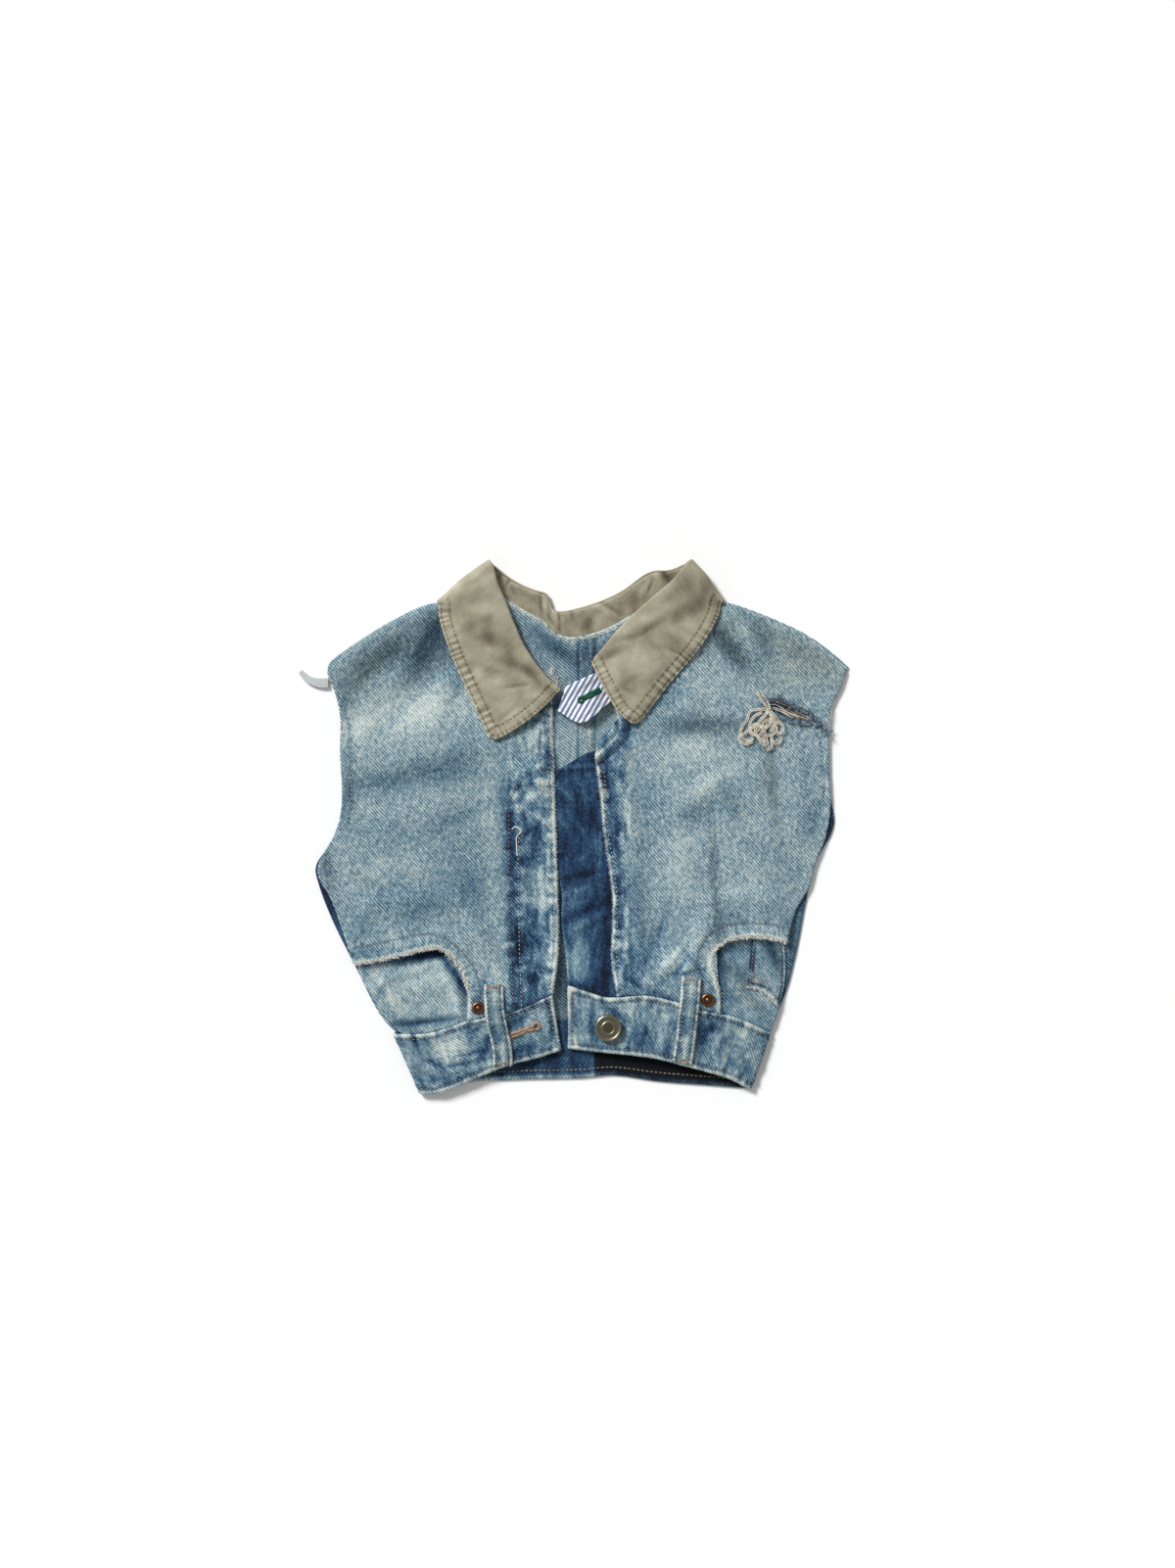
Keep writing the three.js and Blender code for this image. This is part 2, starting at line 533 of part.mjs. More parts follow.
// The collar: leaf, fold at the side of the neck, back, fold, leaf
const LEAF_ON_FRONT = 3.7;
const LEAF_EDGE = 1.9;
const LEAF_PUFF = 1.6;
const TAB_ROOM = 2.4;
function leafHeight(half, w, s) {
  const tab = half === "right" ? TAB_ROOM * (1 - ease((s - 0.25) / 0.3)) * (1 - ease((w - 0.7) / 0.3)) : 0;
  return LEAF_ON_FRONT + (LEAF_EDGE - LEAF_ON_FRONT) * w + LEAF_PUFF * Math.sin(Math.PI * w) + tab;
}
// Highest of the front's heights close round a point, so that what lies on it clears it.
function crest(half, x, y, reach = 5) {
  const offsets = [[0, 0], [reach, 0], [-reach, 0], [0, reach], [0, -reach]];
  return Math.max(...offsets.map(([dx, dy]) => frontHeight(half, x + dx, y + dy)));
}
function leafRows(half, end, tip, roll, outer, count, across) {
  const plan = patch(side(end, tip), side(outline(
    [roll.at(-1).x, roll.at(-1).y], [outer.at(-1).x, outer.at(-1).y])), side(roll), side(outer));
  return steps(count).map((s) => across.map((w) => {
    const p = plan(w, s);
    p.z = crest(half, p.x, p.y, 3) + leafHeight(half, w, s);
    return p;
  }));
}
// Rows round a fold whose upper and lower rows lie over each other.
function roundFold(upper, lower, outward, count = 4) {
  return steps(count + 1).slice(1, -1).map((t) => upper.map((a, j) => {
    const b = lower[j];
    const radius = Math.abs(a.z - b.z) / 2;
    const p = a.clone().lerp(b, (1 - Math.cos(Math.PI * t)) / 2);
    p.x += outward.x * radius * Math.sin(Math.PI * t);
    p.y += outward.y * radius * Math.sin(Math.PI * t);
    return p;
  }));
}
function makeFall() {
  const across = steps(6);
  const left = leafRows("left", LEAF_LEFT_END, LEAF_LEFT_TIP, LEAF_LEFT_ROLL, LEAF_LEFT_OUTER, 13, across);
  const right = leafRows("right", LEAF_RIGHT_END, LEAF_RIGHT_TIP, LEAF_RIGHT_ROLL, LEAF_RIGHT_OUTER, 13, across);
  const backLeft = side(outline([-61, 176], [-96, 150]));
  const backRight = side(outline([70.4, 177], [93, 151]));
  const plan = patch(side(FALL_ROLL_BACK), side(FALL_OUTER_BACK), backLeft, backRight);
  const back = steps(18).map((s) => across.map((w) => {
    const p = plan(s, w);
    p.z = FALL_BACK_MID;
    return p;
  }));
  right.reverse();
  return wall([
    ...left,
    ...roundFold(left.at(-1), back[0], NECK_FOLD_LEFT),
    ...back,
    ...roundFold(back.at(-1), right[0], NECK_FOLD_RIGHT),
    ...right,
  ].map((row) => row.reverse()), KHAKI);
}
sew("collar_fall", makeFall(), COLOURS.khaki);

function makeStand() {
  const across = steps(3);
  const strip = (roll, neck, count, height) => {
    const [r, n] = [side(roll), side(neck)];
    return steps(count).map((s) => across.map((w) => {
      const p = r.at(s).lerp(n.at(s), w);
      p.z = height(p.x, p.y);
      return p;
    }));
  };
  const onFront = (half) => (x, y) => crest(half, x, y, 3) + LAYER + SEAM;
  const left = strip(STAND_ROLL_LEFT, STAND_NECK_LEFT, 13, onFront("left"));
  const right = strip(STAND_ROLL_RIGHT, STAND_NECK_RIGHT, 13, onFront("right")).reverse();
  const back = strip(STAND_ROLL_BACK, STAND_NECK_BACK, 18, () => STAND_BACK_MID);
  return wall([
    ...left,
    ...roundFold(left.at(-1), back[0], NECK_FOLD_LEFT),
    ...back,
    ...roundFold(back.at(-1), right[0], NECK_FOLD_RIGHT),
    ...right,
  ].map((row) => row.reverse()), KHAKI);
}
sew("collar_stand", makeStand(), COLOURS.khaki);

// The striped tab at the neck, sewn to the right end of the stand under the leaf
const TAB_LOW = outline([-16.5, 78.5], [-0.7, 70.6], [14, 81], [25, 91]);
const TAB_HIGH = outline([-11.2, 94.4], [-6.6, 97], [8.6, 103.6], [16, 107]);
const TAB_FREE = 4.4;
const TAB_SEWN = 7.3;
function makeTab() {
  const plan = patch(side(TAB_LOW), side(TAB_HIGH), side(outline([-16.5, 78.5], [-11.2, 94.4])),
    side(outline([25, 91], [16, 107])));
  const height = (x) => TAB_FREE + (TAB_SEWN - TAB_FREE) * ease((x + 10) / 16);
  return wall(spread(plan, steps(11), steps(5), height), TAB_CLOTH);
}
sew("neck_tab", makeTab(), COLOURS.tab);

// The upper face of the vest at a point, of the front or of the band over it
function topFace(half, x, y) {
  const onBand = y < bandTops[half](x) + 1;
  return onBand ? bandHeights[half](x) + BAND_CLOTH / 2 : frontHeight(half, x, y) + DENIM / 2;
}
function highest(half, x, y, reach) {
  const turns = [0, 1, 2, 3, 4, 5, 6, 7].map((k) => (k * Math.PI) / 4);
  return Math.max(topFace(half, x, y),
    ...turns.map((a) => topFace(half, x + reach * Math.cos(a), y + reach * Math.sin(a))));
}

// Belt loops, caught down at both ends and bowed over the waistband
const BELT_LOOP_LEFT = outline([-59.4, -105.6], [-59.2, -122], [-56.8, -135.3], [-54.1, -148.5],
  [-53.2, -159.6]);
const BELT_LOOP_RIGHT = outline([73.3, -100.3], [70.4, -128], [66.9, -157.6]);
function makeBeltLoop(half, rows) {
  const line = side(rows);
  const grid = steps(14).map((t) => {
    const p = line.at(t);
    const ahead = line.at(Math.min(t + 0.05, 1)).sub(line.at(Math.max(t - 0.05, 0))).normalize();
    const z = highest(half, p.x, p.y, BELT_LOOP_WIDTH / 2) + SEAM + LOOP_CLOTH / 2 +
      BELT_LOOP_LIFT * Math.sin(Math.PI * t);
    return steps(3).map((w) => {
      const off = (w - 0.5) * BELT_LOOP_WIDTH;
      return new THREE.Vector3(p.x - ahead.y * off, p.y + ahead.x * off, z);
    });
  });
  return wall(grid, LOOP_CLOTH);
}
sew("belt_loop_left", makeBeltLoop("left", BELT_LOOP_LEFT), COLOURS.band);
sew("belt_loop_right", makeBeltLoop("right", BELT_LOOP_RIGHT), COLOURS.band);

// A turned metal piece standing on the cloth at a point; its profile goes from the axis
// at the foot round to the axis at the top.
function turned(half, { x, y, radius }, profile, sides) {
  const points = profile.map(({ r, z }) => new THREE.Vector2(r, z));
  const geometry = new THREE.LatheGeometry(points, sides).rotateX(Math.PI / 2);
  return geometry.translate(x, y, highest(half, x, y, radius) + SEAM);
}
for (const rivet of RIVETS) {
  const { name, radius: r, height: h } = rivet;
  const profile = table("r z", [0, 0], [r, 0], [r, 0.5], [0.72 * r, h - 0.4], [0.4 * r, h - 0.5],
    [0.3 * r, h], [0, h]);
  sew(name, turned(rivet.x < 0 ? "left" : "right", rivet, profile, 20), COLOURS.copper,
    { roughness: 0.45, metalness: 1 });
}
{
  const { radius: r, shank, height: h, rim } = BUTTON;
  const profile = table("r z", [0, 0], [4.4, 0], [4.2, shank - 1], [r - 0.4, shank - 0.8],
    [r, shank - 0.2], [r - 0.5, h - 0.2], [r - rim, h], [r - rim - 0.9, h - 0.5],
    [4.6, h - 0.5], [4.1, h], [3.2, h], [2.8, h - 0.4], [0, h - 0.3]);
  const foot = { ...BUTTON, radius: 5 };
  sew("shank_button", turned("right", foot, profile, 32), COLOURS.brass,
    { roughness: 0.4, metalness: 1 });
}

// The coin pocket, a patch on the right facing
function makeCoinPocket() {
  const low = side(outline([110.9, -106], [122, -109.4], [130.6, -118]));
  const top = side(outline([116, -62], [130, -64]));
  const plan = patch(low, top, side(COIN_INNER), side(COIN_OUTER));
  const reach = [[0, 0], [3, 0], [-3, 0], [0, 3], [0, -3]];
  const height = (x, y) =>
    Math.max(...reach.map(([dx, dy]) => pocketHeight("right", x + dx, y + dy))) + LAYER;
  return wall(spread(plan, steps(5), steps(9), height), DENIM);
}
sew("coin_pocket", makeCoinPocket(), COLOURS.pocket);

// The loop of clear tape at the left armhole: out along the surface, round and back
const TAPE = table("x y width", [-171.3, 97.4, 6.4], [-178, 97.6, 6], [-185, 100, 4.6],
  [-190, 105, 2.6]);
const TAPE_THICKNESS = 0.6;
const TAPE_LEVELS = { low: 0.4, high: 1.9 };
function makeTape() {
  const line = side(TAPE);
  const rowAt = (t, z) => {
    const p = line.at(t);
    const ahead = line.at(Math.min(t + 0.05, 1)).sub(line.at(Math.max(t - 0.05, 0))).normalize();
    const width = TAPE[0].width + (TAPE.at(-1).width - TAPE[0].width) * t ** 1.5;
    return [0.5, -0.5].map((w) =>
      new THREE.Vector3(p.x - ahead.y * width * w, p.y + ahead.x * width * w, z));
  };
  const out = steps(7).map((t) => rowAt(t, TAPE_LEVELS.low));
  const back = steps(7).map((t) => rowAt(1 - t, TAPE_LEVELS.high));
  const turn = { x: -0.68, y: 0.73 };
  return wall([...out, ...roundFold(out.at(-1), back[0], turn, 3), ...back], TAPE_THICKNESS);
}
sew("hanger_loop", makeTape(), COLOURS.tape, { roughness: 0.2 });

// The white weft pulled out of the rip, a tangle of yarns held in one knot beside it
const YARN = { radius: 0.55, sides: 3, count: 10, steps: 8 };
const KNOT = { x: 118.5, y: 82, width: 5, length: 8, height: 1 };
function makeThreads() {
  const section = new THREE.Shape(Array.from({ length: YARN.sides }, (_, k) => {
    const a = (k * 2 * Math.PI) / YARN.sides;
    return new THREE.Vector2(YARN.radius * Math.cos(a), YARN.radius * Math.sin(a));
  }));
  const floor = highest("right", KNOT.x, KNOT.y, KNOT.length / 2) + SEAM;
  const knot = new THREE.BoxGeometry(KNOT.width, KNOT.length, KNOT.height)
    .translate(KNOT.x, KNOT.y, floor + KNOT.height / 2);
  let tangle = solid(knot);
  for (let k = 0; k < YARN.count; k++) {
    const share = k / (YARN.count - 1);
    const heading = THREE.MathUtils.degToRad(205 + 95 * share);
    const reach = 16 + 13 * Math.abs(Math.sin(2.3 * k + 0.6));
    const curl = 4 * Math.sin(1.7 * k + 1);
    const path = new THREE.CatmullRomCurve3([0, 0.25, 0.5, 0.75, 1].map((t) => {
      const sway = curl * Math.sin(2.6 * Math.PI * t);
      const x = KNOT.x + reach * t * Math.cos(heading) - sway * Math.sin(heading);
      const y = KNOT.y + reach * t * Math.sin(heading) + sway * Math.cos(heading);
      const lift = SEAM + YARN.radius + 0.9 * Math.sin(Math.PI * t) + (k % 3) * 0.5;
      return new THREE.Vector3(x, y, t === 0 ? floor + KNOT.height / 2 : highest("right", x, y, 2) + lift);
    }));
    tangle = tangle.add(solid(new THREE.ExtrudeGeometry(section,
      { steps: YARN.steps, extrudePath: path })));
  }
  return geometryOf(tangle);
}
sew("rip_threads", makeThreads(), COLOURS.thread);

export default vest;
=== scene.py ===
import math

import bpy
import numpy as np
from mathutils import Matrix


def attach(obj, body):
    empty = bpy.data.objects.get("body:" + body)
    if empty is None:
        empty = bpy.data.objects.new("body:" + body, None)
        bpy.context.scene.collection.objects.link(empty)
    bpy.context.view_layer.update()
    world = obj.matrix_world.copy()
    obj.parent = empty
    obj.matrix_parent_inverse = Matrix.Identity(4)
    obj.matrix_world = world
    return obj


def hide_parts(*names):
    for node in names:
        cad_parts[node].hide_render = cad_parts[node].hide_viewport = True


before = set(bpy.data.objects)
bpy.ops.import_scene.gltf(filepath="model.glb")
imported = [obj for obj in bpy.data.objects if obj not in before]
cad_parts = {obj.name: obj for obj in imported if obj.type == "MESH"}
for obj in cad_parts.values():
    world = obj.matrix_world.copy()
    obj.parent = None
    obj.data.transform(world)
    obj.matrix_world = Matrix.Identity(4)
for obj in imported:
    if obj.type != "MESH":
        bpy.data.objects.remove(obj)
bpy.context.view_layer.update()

# Studio. The vest lies flat on a pale floor and the camera looks straight down on it. A large
# soft lamp stands behind its left shoulder, and the room's even white light fills the shadows.
MM = 0.001
PHOTO = {"height": 1601, "mm_per_pixel": 0.66, "centre_x": 3.3, "centre_y": 29.4}
CAMERA_HEIGHT = 1.8
LAMP = {"x": -1.15, "y": 1.2, "z": 1.25, "spread": 15.0, "strength": 3.4}
ROOM_LIGHT = 0.36
FLOOR_REACH = 3.0
scene = bpy.context.scene
scene.view_settings.view_transform = "Standard"


def linear(red, green, blue):
    """A colour as a paint card gives it, 0 to 255, in the shader's own linear numbers."""
    shares = [c / 255 for c in (red, green, blue)]
    return (*[s / 12.92 if s < 0.04 else ((s + 0.055) / 1.055) ** 2.4 for s in shares], 1.0)


def place(tree, kind, settings=None, inputs=None):
    """One shader or geometry node. An input that is given a socket is linked, others are set."""
    made = tree.nodes.new(kind)
    for key, value in (settings or {}).items():
        setattr(made, key, value)
    for key, value in (inputs or {}).items():
        if isinstance(value, bpy.types.NodeSocket):
            tree.links.new(value, made.inputs[key])
        else:
            made.inputs[key].default_value = value
    return made


def maths(tree, operation, *values, clamp=False):
    settings = {"operation": operation, "use_clamp": clamp}
    return place(tree, "ShaderNodeMath", settings, dict(enumerate(values))).outputs[0]


def noise(tree, vector, scale, detail, roughness=0.5):
    inputs = {"Vector": vector, "Scale": scale, "Detail": detail, "Roughness": roughness}
    return place(tree, "ShaderNodeTexNoise", None, inputs).outputs["Fac"]


def paint(name, constants):
    """A new material with constants on its shader. Returns it with its tree and its shader."""
    material = bpy.data.materials.new(name)
    material.use_nodes = True
    shader = material.node_tree.nodes["Principled BSDF"]
    for key, value in constants.items():
        shader.inputs[key].default_value = value
    return material, material.node_tree, shader


def new_object(name, data):
    made = bpy.data.objects.new(name, data)
    scene.collection.objects.link(made)
    return made


camera = new_object("camera", bpy.data.cameras.new("camera"))
camera.location = (PHOTO["centre_x"] * MM, PHOTO["centre_y"] * MM, CAMERA_HEIGHT)
photo_length = PHOTO["height"] * PHOTO["mm_per_pixel"] * MM
camera.data.lens = camera.data.sensor_width * CAMERA_HEIGHT / photo_length
camera.data.clip_start = 0.01
scene.camera = camera

lamp = new_object("lamp", bpy.data.lights.new("lamp", "SUN"))
lamp.data.angle = math.radians(LAMP["spread"])
lamp.data.energy = LAMP["strength"]
lamp.location = (LAMP["x"], LAMP["y"], LAMP["z"])
lamp.rotation_euler = lamp.location.to_track_quat("Z", "Y").to_euler()

room = bpy.data.worlds.new("room")
room.use_nodes = True
room.node_tree.nodes["Background"].inputs["Color"].default_value = (1.0, 1.0, 1.0, 1.0)
room.node_tree.nodes["Background"].inputs["Strength"].default_value = ROOM_LIGHT
scene.world = room

floor_mesh = bpy.data.meshes.new("floor")
floor_corners = [(x * FLOOR_REACH, y * FLOOR_REACH, 0) for x, y in ((-1, -1), (1, -1), (1, 1), (-1, 1))]
floor_mesh.from_pydata(floor_corners, [], [(0, 1, 2, 3)])
floor = new_object("floor", floor_mesh)
floor.location.z = -0.3 * MM
floor_paint, _, _ = paint("floor_paint", {"Base Color": linear(254, 254, 254), "Roughness": 0.9})
floor_mesh.materials.append(floor_paint)

# Waistband. The jeans' own waistband is the vest's hem: one strip of doubled denim, topstitched
# round its edge in orange thread, worn pale along its folds. It runs from a buttonhole at the
# centre front round the left side, across the back and round to the button.
DENIM = 1.2
BAND_CLOTH = 2.2
SEAM = 0.3
LAYER = DENIM + SEAM


def outline(points):
    """Points in millimetres from plain text, with commas between them, as rows of an array."""
    return np.array([point.split() for point in points.split(",")], float)


def table(columns, rows):
    """Rows of numbers from plain text, under named columns, as a dict of arrays."""
    return dict(zip(columns.split(), outline(rows).T))


def ease(share):
    s = np.clip(share, 0, 1)
    return s * s * (3 - 2 * s)


def bell(off, width):
    """1 where a distance is 0, falling softly to nothing over about twice the width."""
    return np.exp(-(off / width) ** 2)


def smooth(points, fineness=16):
    """A smooth line through points: centripetal, so that it never loops between close ones."""
    points = np.asarray(points, float)
    p = np.vstack([2 * points[0] - points[1], points, 2 * points[-1] - points[-2]])
    a, b, c = (np.sqrt(np.linalg.norm(p[1 + k:len(p) - 2 + k] - p[k:len(p) - 3 + k], axis=1))[:, None]
               for k in range(3))
    before, start, end, after = (p[k:len(p) - 3 + k] for k in range(4))
    leaving = b * ((start - before) / a - (end - before) / (a + b)) + end - start
    arriving = end - start - b * ((after - start) / (b + c)) + b * (after - end) / c
    s = np.linspace(0, 1, fineness, endpoint=False)[None, :, None]
    cubic = ((2 * s**3 - 3 * s**2 + 1) * start[:, None] + (s**3 - 2 * s**2 + s) * leaving[:, None]
             + (3 * s**2 - 2 * s**3) * end[:, None] + (s**3 - s**2) * arriving[:, None])
    return np.vstack([cubic.reshape(-1, points.shape[1]), points[-1:]])


class Side:
    """One edge of a piece: smooth runs that meet at corners. Called with shares of its length."""

    def __init__(self, *runs):
        lines = [smooth(run) for run in runs]
        self.line = np.vstack([lines[0], *(line[1:] for line in lines[1:])])
        steps = np.linalg.norm(np.diff(self.line, axis=0), axis=1)
        travelled = np.concatenate([[0], np.cumsum(steps)])
        self.length = travelled[-1]
        self.reach = travelled / self.length
        ends = np.cumsum([len(line) - 1 for line in lines])[:-1]
        self.corners = self.reach[ends]

    def __call__(self, share):
        share = np.clip(share, 0, 1)
        return np.stack([np.interp(share, self.reach, column) for column in self.line.T], -1)

    def spaced(self, gap=2.0):
        """Points along the edge, about a gap apart."""
        return self(np.linspace(0, 1, max(2, round(self.length / gap))))


def shares(count, *sides):
    """Shares from 0 to 1 in equal steps, the nearest ones moved onto the sides' corners."""
    made = np.linspace(0, 1, count + 1)
    for corner in (c for s in sides for c in s.corners):
        made[round(corner * count)] = corner
    return made


def plan(bottom, top, left, right, us, vs):
    """Points over a four-sided piece, from its edges. Sides run left to right and bottom to top."""
    u, v = us[:, None, None], vs[None, :, None]
    low, high, near, far = bottom(us)[:, None], top(us)[:, None], left(vs)[None], right(vs)[None]
    corners = ((1 - u) * (1 - v) * bottom(0) + u * (1 - v) * bottom(1)
               + (1 - u) * v * top(0) + u * v * top(1))
    return low * (1 - v) + high * v + near * (1 - u) + far * u - corners


def reading(rows, key, value):
    """The value column of a table as a function of its key column."""
    order = np.argsort(rows[key])
    return lambda x: np.interp(x, rows[key][order], rows[value][order])


def outside(area, x, y):
    """Distance from points to an area, 0 inside it."""
    inside = np.zeros(x.shape, bool)
    nearest = np.full(x.shape, np.inf)
    for (ax, ay), (bx, by) in zip(area, np.roll(area, -1, axis=0)):
        dx, dy = bx - ax, by - ay
        crosses = (ay > y) != (by > y)
        inside ^= crosses & (x < ax + (y - ay) * dx / (dy or 1))
        t = np.clip(((x - ax) * dx + (y - ay) * dy) / (dx * dx + dy * dy or 1), 0, 1)
        nearest = np.minimum(nearest, np.hypot(x - ax - t * dx, y - ay - t * dy))
    return np.where(inside, 0, nearest)


def cover(area, margin, slope):
    """1 over an area and a margin round it, easing down to 0 over a slope."""
    return lambda x, y: 1 - ease((outside(area, x, y) - margin) / slope)


def spots(rows, column, x, y):
    """The sum of soft oval spots: middle, direction in degrees, half length and half width."""
    total = np.zeros(x.shape)
    for cx, cy, turn, long, wide, value in zip(*(rows[k] for k in ("x", "y", "turn", "long", "wide")),
                                               rows[column]):
        c, s = math.cos(math.radians(turn)), math.sin(math.radians(turn))
        along = ((x - cx) * c + (y - cy) * s) / long
        across = ((y - cy) * c - (x - cx) * s) / wide
        total += value * np.exp(-along**2 - across**2)
    return total


def wander(x, y, size, seed):
    """Smooth random values from -1 to 1, with hills about a size apart."""
    lattice = np.random.default_rng(seed).uniform(-1, 1, (97, 97))
    gx, gy = x / size, y / size
    ix, iy = np.floor(gx).astype(int), np.floor(gy).astype(int)
    fx, fy = ease(gx - ix), ease(gy - iy)

    def at(a, b):
        return lattice[a % 97, b % 97]

    return ((at(ix, iy) * (1 - fx) + at(ix + 1, iy) * fx) * (1 - fy)
            + (at(ix, iy + 1) * (1 - fx) + at(ix + 1, iy + 1) * fx) * fy)


def beside(line, x, y):
    """How far along a line each point lies, and how far off it, positive on the line's left."""
    along = np.zeros(x.shape)
    off = np.full(x.shape, 1e6)
    travelled = 0.0
    for (ax, ay), (bx, by) in zip(line[:-1], line[1:]):
        dx, dy = bx - ax, by - ay
        length = math.hypot(dx, dy)
        t = np.clip(((x - ax) * dx + (y - ay) * dy) / length**2, 0, 1)
        px, py = x - ax - t * dx, y - ay - t * dy
        distance = np.hypot(px, py)
        nearer = distance < np.abs(off)
        along = np.where(nearer, travelled + t * length, along)
        off = np.where(nearer, np.where(dx * py - dy * px < 0, -distance, distance), off)
        travelled += length
    return along, off


def normals(grid):
    """Unit vectors out of a grid's surface, at its points."""
    normal = np.cross(np.gradient(grid, axis=0), np.gradient(grid, axis=1))
    return normal / np.linalg.norm(normal, axis=2, keepdims=True)


def walls(middle, thickness, raised=0.0):
    """The outer and inner faces of cloth round a grid of middle points."""
    normal = normals(middle)
    lift = np.broadcast_to(thickness / 2 + np.asarray(raised, float), middle.shape[:2])
    return middle + normal * lift[..., None], middle - normal * thickness / 2


def cloth(name, outer, inner, marks, keep=None):
    """A closed wall between two faces given in millimetres, with a rounded edge. The marks are one
    value a point, which the material reads. keep(x, y) says what is left standing round a hole."""
    rows, cols = outer.shape[:2]
    count = rows * cols
    outer, inner = outer.reshape(-1, 3), inner.reshape(-1, 3)
    index = np.arange(count).reshape(rows, cols)
    quads = np.stack([index[:-1, :-1], index[1:, :-1], index[1:, 1:], index[:-1, 1:]], -1).reshape(-1, 4)
    if keep is not None:
        centre = outer[quads].mean(axis=1)
        quads = quads[keep(centre[:, 0], centre[:, 1])]
    edges = np.vstack([quads[:, [k, (k + 1) % 4]] for k in range(4)])
    lone = ~np.isin(edges[:, 0] * count + edges[:, 1], edges[:, 1] * count + edges[:, 0])
    a, b = edges[lone].T
    through = outer - inner
    away = np.cross(outer[b] - outer[a], through[a])
    away /= np.linalg.norm(away, axis=1, keepdims=True) + 1e-12
    push = np.zeros((count, 3))
    for end in (a, b):
        np.add.at(push, end, away)
    used = np.unique(a)
    push = push[used] / (np.linalg.norm(push[used], axis=1, keepdims=True) + 1e-12)
    thickness = np.linalg.norm(through[used], axis=1, keepdims=True)
    edge_points = (outer[used] + inner[used]) / 2 + push * thickness * 0.35
    edge_of = np.zeros(count, int)
    edge_of[used] = 2 * count + np.arange(len(used))
    faces = np.vstack([
        quads,
        quads[:, ::-1] + count,
        np.stack([b, a, edge_of[a], edge_of[b]], -1),
        np.stack([edge_of[b], edge_of[a], a + count, b + count], -1),
    ])
    kept, faces = np.unique(faces, return_inverse=True)
    vertices = np.vstack([outer, inner, edge_points])[kept]
    mesh = bpy.data.meshes.new(name)
    mesh.from_pydata((vertices * MM).tolist(), [], faces.reshape(-1, 4).tolist())
    mesh.shade_smooth()
    for key, values in marks.items():
        each = np.broadcast_to(values, (rows, cols, *np.shape(values)[2:])).reshape(count, -1)
        each = np.vstack([each, each, each[used]])[kept]
        kind, field = ("FLOAT", "value") if each.shape[1] == 1 else ("FLOAT_VECTOR", "vector")
        mesh.attributes.new(key, kind, "POINT").data.foreach_set(field, each.astype(np.float32).ravel())
    return new_object(name, mesh)


def seat(piece, slot, *nodes):
    """Sets a finished piece on the body, in place of the CAD nodes it stands for. Its slot is not used."""
    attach(piece, "root")
    if nodes:
        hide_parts(*nodes)
    return piece


def dress(piece, material, slot, nodes):
    """Gives a finished piece its material and sets it on the body."""
    piece.data.materials.clear()
    piece.data.materials.append(material)
    return seat(piece, slot, *nodes)


def weave_of(grid, turn=0.0):
    """The cloth's own coordinates at a grid's points, in metres: x across and y along the warp."""
    c, s = math.cos(math.radians(turn)), math.sin(math.radians(turn))
    x, y = grid[..., 0], grid[..., 1]
    return np.stack([x * c + y * s, y * c - x * s, 0 * x], -1) * MM


def mark(tree, key, output="Fac"):
    """A value that a piece carries at its points."""
    return place(tree, "ShaderNodeAttribute", {"attribute_name": key}).outputs[output]


def bumps(tree, shader, height, strength, depth):
    inputs = {"Strength": strength, "Distance": depth * MM, "Height": height}
    lit = place(tree, "ShaderNodeBump", None, inputs)
    tree.links.new(lit.outputs["Normal"], shader.inputs["Normal"])


